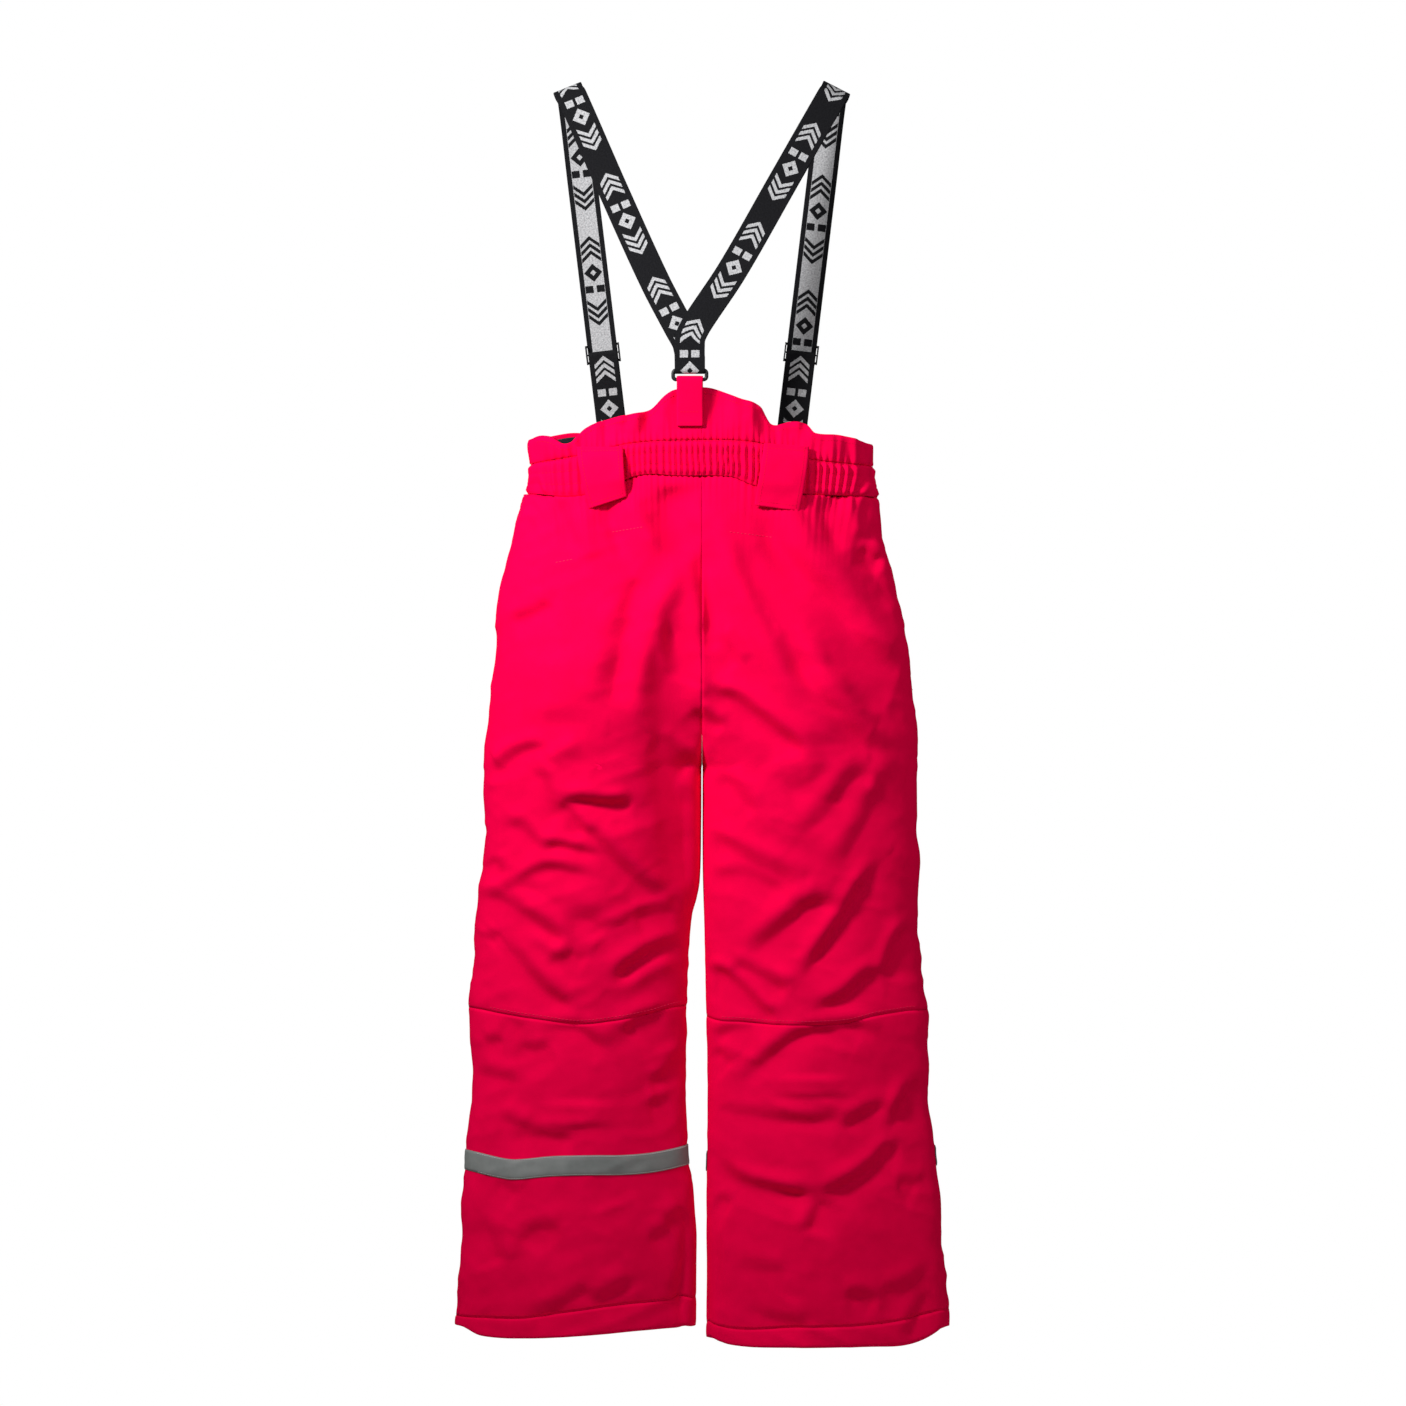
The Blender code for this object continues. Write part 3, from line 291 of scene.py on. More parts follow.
FRONT_VALLEYS = [
    (3.6, 9, [(-0.030, -0.600), (-0.052, -0.628), (-0.088, -0.650), (-0.120, -0.658)]),
    (3.6, 9, [(0.026, -0.590), (0.050, -0.622), (0.080, -0.640), (0.112, -0.646)]),
    (4.4, 8, [(-0.004, -0.640), (-0.026, -0.662), (-0.050, -0.700), (-0.066, -0.735)]),
    (4.4, 8, [(0.004, -0.646), (0.024, -0.670), (0.044, -0.705), (0.060, -0.745)]),
    (3.2, 8, [(-0.200, -0.640), (-0.170, -0.664), (-0.130, -0.676)]),
    (3.2, 8, [(0.204, -0.655), (0.172, -0.680), (0.140, -0.692)]),
    (3.6, 8, [(-0.208, -0.742), (-0.170, -0.760), (-0.120, -0.764), (-0.070, -0.756)]),
    (3.4, 8, [(0.020, -0.770), (0.070, -0.790), (0.120, -0.800), (0.160, -0.790)]),
    (3.8, 9, [(-0.050, -0.840), (-0.095, -0.852), (-0.150, -0.846), (-0.190, -0.830)]),
    (3.6, 8, [(0.204, -0.830), (0.170, -0.856), (0.120, -0.868), (0.080, -0.864)]),
    (3.4, 7, [(-0.190, -0.895), (-0.140, -0.905), (-0.100, -0.900)]),
    (3.4, 7, [(0.040, -0.900), (0.085, -0.910), (0.130, -0.902)]),
    (3.0, 7, [(-0.040, -0.985), (-0.090, -0.975), (-0.140, -0.982)]),
    (3.0, 7, [(0.200, -0.978), (0.160, -0.968), (0.110, -0.976)]),
    (2.8, 8, [(-0.205, -1.020), (-0.150, -1.034), (-0.090, -1.030)]),
    (2.8, 8, [(0.040, -1.020), (0.090, -1.036), (0.150, -1.032)]),
    (3.0, 8, [(-0.030, -1.120), (-0.080, -1.134), (-0.130, -1.128)]),
    (3.0, 8, [(0.205, -1.116), (0.150, -1.136), (0.095, -1.130)]),
    (2.6, 8, [(-0.200, -1.170), (-0.150, -1.184), (-0.110, -1.180)]),
    (2.6, 8, [(0.050, -1.180), (0.100, -1.194), (0.150, -1.188)]),
]
FRONT_RIDGES = [
    (3.0, 30, [(-0.120, -0.560), (-0.125, -0.630)]),
    (3.0, 30, [(0.120, -0.560), (0.125, -0.620)]),
    (-3.0, 12, [(-0.010, -0.560), (-0.008, -0.640)]),
    (-3.0, 12, [(0.010, -0.560), (0.008, -0.640)]),
    (3.0, 26, [(-0.115, -0.800), (-0.118, -0.830)]),
    (3.0, 26, [(0.115, -0.820), (0.118, -0.850)]),
]
BIB_VALLEYS = [
    (3.2, 6, [(-0.050, -0.323), (-0.056, -0.340), (-0.060, -0.356)]),
    (3.0, 6, [(0.056, -0.326), (0.060, -0.340), (0.061, -0.358)]),
]
BIB_RIDGES = [
    (-2.0, 7, [(-0.022, -0.312), (-0.020, -0.345)]),
    (1.6, 9, [(-0.038, -0.322), (-0.040, -0.350)]),
    (-1.8, 8, [(0.016, -0.312), (0.012, -0.350)]),
    (1.8, 10, [(0.034, -0.322), (0.036, -0.350)]),
    (-2.0, 6, [(-0.082, -0.338), (-0.080, -0.356)]),
    (-2.0, 6, [(0.088, -0.345), (0.090, -0.368)]),
]


# ---------------------------------------------------------------- numbers

def smooth_step(low, high, at):
    t = np.clip((np.asarray(at, float) - low) / (high - low), 0.0, 1.0)
    return t * t * (3 - 2 * t)


def curve(stations, at):
    """A smooth curve through (place, value) stations, read at an array of places."""
    rows = np.array(sorted(stations), float)
    place, value = rows[:, 0], rows[:, 1]
    low = np.maximum(np.arange(len(rows)) - 1, 0)
    high = np.minimum(np.arange(len(rows)) + 1, len(rows) - 1)
    slope = (value[high] - value[low]) / (place[high] - place[low])
    at = np.clip(np.asarray(at, float), place[0], place[-1])
    index = np.clip(np.searchsorted(place, at, side="right") - 1, 0, len(rows) - 2)
    span = place[index + 1] - place[index]
    t = (at - place[index]) / span
    start = value[index] * (1 + 2 * t) * (1 - t) ** 2 + slope[index] * span * t * (1 - t) ** 2
    end = value[index + 1] * t * t * (3 - 2 * t) + slope[index + 1] * span * t * t * (t - 1)
    return start + end


def lattice(x, y, z, seed):
    """Smooth value noise from -1 to 1."""
    cell = [np.floor(v).astype(np.int64) for v in (x, y, z)]
    part = [v - c for v, c in zip((x, y, z), cell)]
    part = [p * p * (3 - 2 * p) for p in part]
    total = np.zeros(np.shape(x))
    for corner in range(8):
        step = [(corner >> n) & 1 for n in range(3)]
        mixed = ((cell[0] + step[0]) * 73856093 ^ (cell[1] + step[1]) * 19349663
                 ^ (cell[2] + step[2]) * 83492791 ^ seed * 2654435761) & 0xFFFFFFFF
        mixed = ((mixed ^ (mixed >> 15)) * 2246822519) & 0xFFFFFFFF
        mixed = ((mixed ^ (mixed >> 13)) * 3266489917) & 0xFFFFFFFF
        value = ((mixed ^ (mixed >> 16)) & 0xFFFF) / 32767.5 - 1.0
        weight = np.ones(np.shape(x))
        for n in range(3):
            weight = weight * (part[n] if step[n] else 1 - part[n])
        total = total + value * weight
    return total


# ---------------------------------------------------------------- the garment's surface

def section(side, z):
    """The middle, half width, half depth and last angle of one side's oval at each height."""
    outer = curve(OUTER[side], z)
    parting = np.clip(curve(PARTING, z), 0.0, 1.0)
    above = -outer * (1 - parting) / (1 + parting)
    inner = np.where(z > CROTCH_Z, above, curve(INNER[side], z))
    middle, half = (inner + outer) / 2, (outer - inner) / 2
    ratio = np.clip(middle / half, 0.0, 1.0)
    last = np.where(z > CROTCH_Z, np.arccos(-ratio ** (ROUNDNESS / 2)), pi)
    return middle, half, curve(HALF_DEPTH, z), last


def oval(side, face, u, z):
    """Points and outward normals: u runs from the side seam, 0, to the centre or inseam, 1."""
    middle, half, depth, last = section(side, z)
    across, deep = np.cos(u * last), np.abs(np.sin(u * last))
    wide = np.sign(across) * np.abs(across) ** (2 / ROUNDNESS)
    tall = deep ** (2 / ROUNDNESS)
    x, y = middle + half * wide, depth * tall
    nx = np.sign(wide) * np.abs(wide) ** (ROUNDNESS - 1) / half
    ny = tall ** (ROUNDNESS - 1) / depth
    facing = np.where(z > CROTCH_Z, smooth_step(0.0, 0.018, np.abs(x)), 1.0)
    nx = nx * facing
    size = np.hypot(nx, ny) + 1e-12
    return side * np.maximum(x, 0.00005), face * y, side * nx / size, face * ny / size


def turn_of(side, x, z):
    """The u of a point at distance x from the centre."""
    middle, half, _, last = section(side, z)
    wide = np.clip((np.abs(x) - middle) / half, -1.0, 1.0)
    return np.arccos(np.sign(wide) * np.abs(wide) ** (ROUNDNESS / 2)) / last


def even_turns(side, z, columns, low=0.0, high=1.0):
    """Values of u that are evenly spaced along the oval at one height."""
    dense = np.linspace(low, high, 500)
    x, y, _, _ = oval(side, FRONT, dense, np.full(500, z))
    run = np.concatenate([[0.0], np.cumsum(np.hypot(np.diff(x), np.diff(y)))])
    return np.interp(np.linspace(0, run[-1], columns + 1), run, dense)


def rounded(points, steps=8):
    """A polyline of (x, z) smoothed through its points."""
    points = np.array(points, float)
    at = np.arange(len(points))
    fine = np.linspace(0, len(points) - 1, (len(points) - 1) * steps + 1)
    return np.stack([curve(list(zip(at, points[:, n])), fine) for n in range(2)], 1)


def nearest(points, x, z):
    """Signed distance (positive above, or to the left) and place along a polyline, 0 to 1."""
    line = rounded(points)
    lead = line[-1] - line[0]
    upward = 1.0 if lead[0] > 0 else -1.0
    if abs(lead[1]) > 2.5 * abs(lead[0]):
        upward = -1.0 if lead[1] < 0 else 1.0
    best = np.full(np.shape(x), 9.0)
    along = np.zeros(np.shape(x))
    count = len(line) - 1
    for index in range(count):
        start, step = line[index], line[index + 1] - line[index]
        squared = step @ step
        t = np.clip(((x - start[0]) * step[0] + (z - start[1]) * step[1]) / squared, 0.0, 1.0)
        dx, dz = x - start[0] - t * step[0], z - start[1] - t * step[1]
        away = np.hypot(dx, dz)
        signed = np.where(step[0] * dz - step[1] * dx > 0, away, -away) * upward
        closer = away < np.abs(best)
        best = np.where(closer, signed, best)
        along = np.where(closer, (index + t) / count, along)
    return best, along


def near_box(points, x, z, margin):
    low, high = np.min(points, 0) - margin, np.max(points, 0) + margin
    return (x > low[0]) & (x < high[0]) & (z > low[1]) & (z < high[1])


def ends(along, part=0.25):
    return smooth_step(-0.06, part, along) * smooth_step(-0.06, part, 1 - along)


def fold_field(valleys, ridges, x, z):
    """How far the folds of one face push the cloth out, in metres."""
    total = np.zeros(np.shape(x))
    for depth, width, points in valleys:
        w = width / 1000
        here = near_box(points, x, z, 5 * w)
        d, along = nearest(points, x[here], z[here])
        above = np.exp(-(np.maximum(d, 0) / w) ** 1.25)
        below = np.exp(-(np.maximum(-d, 0) / (2.3 * w)) ** 1.5)
        bulge = 0.60 * np.exp(-((d - 1.7 * w) / (1.25 * w)) ** 2)
        shape = bulge - np.where(d > 0, above, below)
        total[here] += depth / 1000 * shape * ends(along)
    for height, width, points in ridges:
        w = width / 1000
        here = near_box(points, x, z, 4 * w)
        d, along = nearest(points, x[here], z[here])
        total[here] += height / 1000 * np.exp(-(d / w) ** 2) * ends(along, 0.3)
    return total


def from_pocket(side, x, z):
    """The distance from the line of a pocket's zip, and the place along it, 0 to 1."""
    start, end = np.array([side * 0.158, -0.462]), np.array([side * 0.196, -0.600])
    step = end - start
    t = np.clip(((x - start[0]) * step[0] + (z - start[1]) * step[1]) / (step @ step), 0, 1)
    return np.hypot(x - start[0] - t * step[0], z - start[1] - t * step[1]), t


def zip_bed(x, y, z):
    """How far the cloth sinks under each pocket's zip, which is straight where the hip is rounded."""
    bed = np.zeros(np.shape(x))
    for side in (LEFT, RIGHT):
        away, t = from_pocket(side, x, z)
        bed = np.maximum(bed, (1 - smooth_step(0.0095, 0.021, away)) * (0.15 + 3.4 * t * (1 - t)))
    return 0.0036 * bed * smooth_step(-0.004, 0.012, y)


def from_block(x, z, middle_x, middle_z, half_width, half_height):
    """The distance from an upright rectangle of the front or the back."""
    beside = np.maximum(np.abs(x - middle_x) - half_width, 0)
    return np.hypot(beside, np.maximum(np.abs(z - middle_z) - half_height, 0))


def calm(x, y, z):
    """1 where the cloth may fold freely, 0 where something is sewn or laid flat on it."""
    front = smooth_step(-0.004, 0.012, y)
    free = np.ones(np.shape(x))
    for side in (LEFT, RIGHT):
        away, _ = from_pocket(side, x, z)
        free = np.minimum(free, 1 - front * (1 - smooth_step(0.012, 0.030, away)))
        tab = from_block(x, z, side * 0.0885, -0.385, 0.016, 0.03)
        free = np.minimum(free, 1 - front * (1 - smooth_step(0.0, 0.010, tab)))
    fly = from_block(x, z, 0.0, -0.470, 0.010, 0.072)
    free = np.minimum(free, 1 - front * (1 - smooth_step(0.002, 0.020, fly)))
    flap = from_block(x, z, 0.011, -0.396, 0.027, 0.014)
    free = np.minimum(free, 1 - front * (1 - smooth_step(0.0, 0.010, flap)))
    back_tab = from_block(x, z, -0.012, -0.335, 0.013, 0.011)
    free = np.minimum(free, 1 - (1 - front) * (1 - smooth_step(0.001, 0.009, back_tab)))
    return free


def leg_round(x, y, z):
    """Draws the cloth in between a leg's middle and its edges, so that the leg is rounder than its oval."""
    side_width = np.where(x < 0, curve(OUTER[LEFT], z), curve(OUTER[RIGHT], z))
    part = np.clip((np.abs(x) - side_width / 2) / (side_width / 2), -1.0, 1.0) ** 2
    legs = smooth_step(-0.430, -0.620, z)
    return -0.0075 * 4 * part * (1 - part) * (0.35 + 0.65 * legs) * smooth_step(-0.40, -0.45, z)


def soft_limit(value, high, low):
    return np.where(value > 0, high * np.tanh(value / high), low * np.tanh(value / low))


def leg_folds(x, y, z):
    """How far the legs' cloth stands out from the plain ovals."""
    back_part = smooth_step(-0.014, 0.014, -y)
    back = fold_field(BACK_VALLEYS, BACK_RIDGES, x, z)
    front = fold_field(FRONT_VALLEYS, FRONT_RIDGES, x, z)
    seat = smooth_step(-0.700, -0.620, z)
    total = (FOLD_SCALE + SEAT_EXTRA * seat) * (back * back_part + front * (1 - back_part))
    slant = z + 0.35 * np.abs(x)
    total += 0.0018 * lattice(x * 13, y * 13, slant * 30, 3)
    shifted = x * 24 + 0.4 * lattice(x * 30, y * 30, z * 30, 5)
    crumple = 1 - 2 * np.abs(lattice(shifted, y * 24, slant * 52, 7))
    total += 0.0009 * crumple
    total += 0.00035 * lattice(x * 95, y * 95, z * 130, 11)
    total = soft_limit(total + leg_round(x, y, z), 0.0090, 0.0125)
    low = smooth_step(-0.640, -0.675, z)
    outward = total * (1 - low * (1 - smooth_step(0.0, 0.024, np.abs(x))))
    inward = total * (1 - low * (1 - smooth_step(0.0, 0.012, np.abs(x))))
    lean = 0.010 * smooth_step(-1.135, -1.262, z) * back_part
    return np.where(total > 0, outward, inward) * calm(x, y, z) - lean - zip_bed(x, y, z)


def gathers(x, y):
    """The smocked band's ribs as a wave from 0 to 1, finer where they crowd."""
    run = x * (1 + 0.25 * np.abs(y) / 0.05)
    phase = run / GATHER_PERIOD + 0.30 * lattice(x * 60, y * 20, x * 0, 21) + 0.22 * np.sign(y)
    return 0.5 + 0.5 * np.cos(2 * pi * phase)


def smocked(x, y):
    """How strongly the band is gathered: all round but for the flat centre front."""
    flat = smooth_step(0.0, 0.02, y) * (1 - smooth_step(0.055, 0.085, np.abs(x)))
    return 1 - 0.85 * flat


# ---------------------------------------------------------------- meshes

def link(name, mesh, looks, smooth=True, sharp=None):
    for look in looks:
        mesh.materials.append(look)
    if smooth:
        mesh.shade_smooth()
    if sharp:
        mesh.set_sharp_from_angle(angle=radians(sharp))
    item = bpy.data.objects.new(name, mesh)
    bpy.context.scene.collection.objects.link(item)
    return item


def solid(name, verts, faces, looks, uvs=None, look_of=None, smooth=True, sharp=None):
    """A mesh object with outward faces; uvs gives one (u, v) for each vertex."""
    mesh = bpy.data.meshes.new(name)
    mesh.from_pydata(np.asarray(verts, float).reshape(-1, 3).tolist(), [], faces)
    if look_of is not None:
        mesh.polygons.foreach_set("material_index", np.asarray(look_of, np.int32))
    if uvs is not None:
        layer = mesh.uv_layers.new(name="cloth")
        corner = np.empty(len(mesh.loops), np.int32)
        mesh.loops.foreach_get("vertex_index", corner)
        layer.data.foreach_set("uv", np.asarray(uvs, np.float32)[corner].ravel())
    made = bmesh.new()
    made.from_mesh(mesh)
    bmesh.ops.recalc_face_normals(made, faces=made.faces)
    made.to_mesh(mesh)
    made.free()
    return link(name, mesh, looks, smooth, sharp)


def closed_sheet(name, outer, inner, looks, closed=False, uv_grid=None):
    """A sheet with two faces and a rim, from its two grids of points."""
    rows, count = outer.shape[:2]
    layer = rows * count
    faces = []
    last = count if closed else count - 1
    for row in range(rows - 1):
        base = row * count
        for column in range(last):
            near, far = base + column, base + (column + 1) % count
            faces.append((near, far, far + count, near + count))
            faces.append((layer + near + count, layer + far + count, layer + far, layer + near))
    for base in (0, (rows - 1) * count):
        for column in range(last):
            near, far = base + column, base + (column + 1) % count
            faces.append((near, far, far + layer, near + layer))
    if not closed:
        for column in (0, count - 1):
            for row in range(rows - 1):
                near, far = row * count + column, (row + 1) * count + column
                faces.append((near, far, far + layer, near + layer))
    if uv_grid is None:
        step = np.linalg.norm(np.diff(outer, axis=1), axis=2)
        along = np.concatenate([np.zeros((rows, 1)), np.cumsum(step, axis=1)], axis=1)
        uv_grid = np.stack([along - along[:, -1:] / 2, outer[:, :, 2]], 2)
    uvs = np.concatenate([uv_grid.reshape(-1, 2), uv_grid.reshape(-1, 2)])
    verts = np.concatenate([outer.reshape(-1, 3), inner.reshape(-1, 3)])
    return solid(name, verts, faces, looks, uvs)


def border(count, spacing, at_start, at_end, reach):
    """How near each line of a grid is to a sewn edge: 1 on it, fading over reach."""
    away = np.arange(count) * spacing
    near = np.zeros(count)
    if at_start:
        near = np.maximum(near, np.exp(-(away / reach) ** 1.3))
    if at_end:
        near = np.maximum(near, np.exp(-(away[::-1] / reach) ** 1.3))
    return near


def cloth_panel(name, side, faces, top, bottom, folds, looks, cell=CELL, thick=SHELL, inset=0.0, roll=0.0016,
                low=0.0, high=1.0, inner_follow=0.0, seams=(True, True, True, True)):
    """A panel between two height curves. faces is one face, or both for a closed tube round a leg."""
    probe = np.array([side * 0.1])
    high_z, low_z = float(top(probe, faces[0])[0]), float(bottom(probe, faces[0])[0])
    rows = max(3, int((high_z - low_z) / cell))
    x, y, _, _ = oval(side, FRONT, np.linspace(low, high, 300), np.full(300, (high_z + low_z) / 2))
    columns = max(4, int(np.hypot(np.diff(x), np.diff(y)).sum() / cell))
    parts = np.linspace(0, 1, rows + 1)[:, None]
    row_z = high_z + (low_z - high_z) * parts
    turns = np.array([even_turns(side, z, columns, low, high) for z in row_z[:, 0]])
    across = border(columns + 1, cell, seams[2], seams[3], 0.0028)
    across = across * np.linspace(1.0, 0.5, columns + 1)
    down = border(rows + 1, (high_z - low_z) / rows, seams[0], seams[1], 0.0028)
    outer, inner = [], []
    for number, face in enumerate(faces):
        u = turns if number == 0 else turns[:, ::-1][:, 1:-1]
        near = across if number == 0 else across[::-1][1:-1]
        flat = np.broadcast_to(row_z, u.shape)
        x0, _, _, _ = oval(side, face, u, flat)
        z = top(x0, face) + (bottom(x0, face) - top(x0, face)) * parts
        x, y, nx, ny = oval(side, face, u, z)
        stands = folds(x, y, z)
        out = stands - inset - roll * np.maximum(near[None, :], down[:, None])
        outer.append(np.stack([x + nx * out, y + ny * out, z], 2))
        deep = np.minimum(-inset - thick + inner_follow * np.minimum(stands, 0.0), out - 0.0012)
        inner.append(np.stack([x + nx * deep, y + ny * deep, z], 2))
    outer, inner = np.concatenate(outer, axis=1), np.concatenate(inner, axis=1)
    if len(faces) == 1 and high == 1.0:
        for grid in (outer, inner):
            centre = grid[:, -1, 2] > CROTCH_Z
            grid[centre, -1, 0] = side * 0.00005
    return closed_sheet(name, outer, inner, looks, closed=len(faces) == 2)


def level(z):
    return lambda x, face: np.full(np.shape(x), z)


def along(stations, shift=0.0):
    """A height curve, from one list for both faces or a list for each."""
    if isinstance(stations, dict):
        return lambda x, face: curve(stations[face], x) + shift
    return lambda x, face: curve(stations, x) + shift


def no_folds(x, y, z):
    return np.zeros(np.shape(x))


def on_shell(x, z, face, lift=0.0, folds=leg_folds):
    """Points on the folded cloth at (x, z) of one face, lifted off it, and the cloth's normals."""
    x, z = np.asarray(x, float), np.asarray(z, float)
    points, normals = np.zeros((len(x), 3)), np.zeros((len(x), 3))
    for side in (LEFT, RIGHT):
        here = (np.sign(x) == side) | ((x == 0) & (side == RIGHT))
        if not here.any():
            continue
        u = turn_of(side, x[here], z[here])
        px, py, nx, ny = oval(side, face, u, z[here])
        out = folds(px, py, z[here]) + lift
        points[here] = np.stack([px + nx * out, py + ny * out, z[here]], 1)
        normals[here] = np.stack([nx, ny, nx * 0], 1)
    return points, normals


def capsules(name, middles, ways, normals, length, width, height, looks):
    """Many small stitches in one mesh: each is a thin lozenge along its way."""
    middles, ways, normals = (np.asarray(v, float) for v in (middles, ways, normals))
    ways = ways / np.linalg.norm(ways, axis=1, keepdims=True)
    sides = np.cross(ways, normals)
    sides = sides / np.linalg.norm(sides, axis=1, keepdims=True)
    ups = np.cross(sides, ways)
    stations = ((-0.5, 0.25), (-0.36, 0.85), (0.0, 1.0), (0.36, 0.85), (0.5, 0.25))
    ring = [(cos(a), sin(a)) for a in (pi / 6, pi / 2, 5 * pi / 6, 7 * pi / 6, 3 * pi / 2, 11 * pi / 6)]
    rows = []
    for part, size in stations:
        for across_, up in ring:
            rows.append(middles + ways * part * length + sides * across_ * size * width / 2
                        + ups * up * size * height / 2)
    verts = np.stack(rows, 1)
    per = len(stations) * 6
    faces = []
    for stitch in range(len(middles)):
        base = stitch * per
        for row in range(len(stations) - 1):
            for n in range(6):
                a, b = base + row * 6 + n, base + row * 6 + (n + 1) % 6
                faces.append((a, b, b + 6, a + 6))
        faces.append(tuple(base + n for n in range(5, -1, -1)))
        faces.append(tuple(base + per - 6 + n for n in range(6)))
    return solid(name, verts.reshape(-1, 3), faces, looks)


def stitch_line(x, z, face, spacing, lift=0.0002, folds=leg_folds):
    """Middles, ways and normals of stitches at even spacing along a line on the cloth."""
    fine, _ = on_shell(x, z, face, 0.0, folds)
    run = np.concatenate([[0.0], np.cumsum(np.linalg.norm(np.diff(fine, axis=0), axis=1))])
    at = np.arange(spacing / 2, run[-1], spacing)
    middle, normal = on_shell(np.interp(at, run, x), np.interp(at, run, z), face, lift, folds)
    way = np.gradient(middle, axis=0)
    return middle, way, normal


def join_rows(rows):
    return [np.concatenate([row[n] for row in rows]) for n in range(3)]


# ---------------------------------------------------------------- shaders

class Shader:
    """A small helper for building one material's nodes."""

    def __init__(self, name):
        self.look = bpy.data.materials.new(name)
        self.look.use_nodes = True
        self.tree = self.look.node_tree
        self.surface = self.tree.nodes["Principled BSDF"]

    def node(self, kind, **values):
        made = self.tree.nodes.new(kind)
        for key, value in values.items():
            if key in made.inputs:
                self.put(made.inputs[key], value)
            else:
                setattr(made, key, value)
        return made

    def put(self, socket, value):
        if isinstance(value, bpy.types.NodeSocket):
            self.tree.links.new(value, socket)
        else:
            socket.default_value = value

    def math(self, operation, *values):
        made = self.tree.nodes.new("ShaderNodeMath")
        made.operation = operation
        for index, value in enumerate(values):
            self.put(made.inputs[index], value)
        return made.outputs[0]

    def coordinates(self, kind="UV"):
        return self.tree.nodes.new("ShaderNodeTexCoord").outputs[kind]

    def noise(self, place, scale, detail=2.0, roughness=0.5, stretch=None):
        if stretch:
            mapping = self.node("ShaderNodeMapping", Vector=place)
            mapping.inputs["Scale"].default_value = stretch
            place = mapping.outputs[0]
        made = self.node("ShaderNodeTexNoise", Vector=place, Scale=scale, Detail=detail, Roughness=roughness)
        return made.outputs["Fac"]

    def ramp(self, value, low, high, dark, light):
        """Map a value between low and high to two colours."""
        made = self.node("ShaderNodeMapRange", Value=value)
        made.inputs["From Min"].default_value = low
        made.inputs["From Max"].default_value = high
        mix = self.node("ShaderNodeMix", data_type="RGBA")
        self.put(mix.inputs[0], made.outputs[0])
        self.put(mix.inputs[6], dark)
        self.put(mix.inputs[7], light)
        return mix.outputs[2]

    def bump(self, height, strength, distance, under=None):
        made = self.node("ShaderNodeBump", Height=height, Strength=strength, Distance=distance)
        if under is not None:
            self.put(made.inputs["Normal"], under)
        return made.outputs[0]

    def finish(self, colour, roughness, normal=None, specular=0.5, metallic=0.0, sheen=0.0):
        self.put(self.surface.inputs["Base Color"], colour)
        self.put(self.surface.inputs["Roughness"], roughness)
        self.put(self.surface.inputs["Specular IOR Level"], specular)
        self.put(self.surface.inputs["Metallic"], metallic)
        self.put(self.surface.inputs["Sheen Weight"], sheen)
        if normal is not None:
            self.put(self.surface.inputs["Normal"], normal)
        return self.look


def rgb(red, green, blue):
    return (red, green, blue, 1.0)


def shell_look(name="shell_red", tint=1.0):
    """Matt woven shell fabric with a fine grain and faint mottling."""
    made = Shader(name)
    place = made.coordinates()
    grain = made.noise(place, 1500.0, 2.0, 0.6)
    weave = made.noise(place, 420.0, 3.0, 0.7, (1.0, 0.55, 1.0))
    mottle = made.noise(place, 38.0, 4.0, 0.6)
    normal = made.bump(weave, 0.30, 0.00035)
    normal = made.bump(grain, 0.32, 0.00016, normal)
    mixed = made.math("ADD", made.math("MULTIPLY", grain, 0.55), made.math("MULTIPLY", mottle, 0.45))
    dark = rgb(0.80 * tint, 0.0002, 0.050 * tint)
    light = rgb(0.98 * tint, 0.0003, 0.068 * tint)
    colour = made.ramp(mixed, 0.30, 0.70, dark, light)
    return made.finish(colour, 0.80, normal, specular=0.008)


def lining_look():
    made = Shader("lining_black")
    place = made.coordinates()
    weave = made.noise(place, 900.0, 2.0, 0.5, (1.0, 0.4, 1.0))
    mottle = made.noise(place, 30.0)
    colour = made.ramp(mottle, 0.3, 0.7, rgb(0.010, 0.010, 0.012), rgb(0.018, 0.018, 0.021))
    return made.finish(colour, 0.6, made.bump(weave, 0.35, 0.0002), specular=0.25)


def fleece_look():
    made = Shader("fleece_black")
    place = made.coordinates()
    pile = made.noise(place, 520.0, 5.0, 0.75)
    colour = made.ramp(pile, 0.35, 0.7, rgb(0.005, 0.005, 0.006), rgb(0.022, 0.022, 0.026))
    return made.finish(colour, 0.95, made.bump(pile, 0.8, 0.0008), specular=0.05, sheen=0.2)


def webbing_normal(made, place, rib=0.00105):
    """Fine ribs across elastic webbing, with lengthways grooves near its edges."""
    parts = made.node("ShaderNodeSeparateXYZ", Vector=place)
    ribs = made.math("SINE", made.math("MULTIPLY", parts.outputs[0], 2 * pi / rib))
    cords = made.math("SINE", made.math("MULTIPLY", parts.outputs[1], 2 * pi / 0.0011))
    height = made.math("MULTIPLY", made.math("MULTIPLY", ribs, cords), 0.5)
    return made.bump(height, 0.45, 0.00022), parts


def plain_elastic_look():
    made = Shader("elastic_black")
    normal, _ = webbing_normal(made, made.coordinates())
    return made.finish(rgb(0.014, 0.014, 0.016), 0.75, normal, specular=0.2)


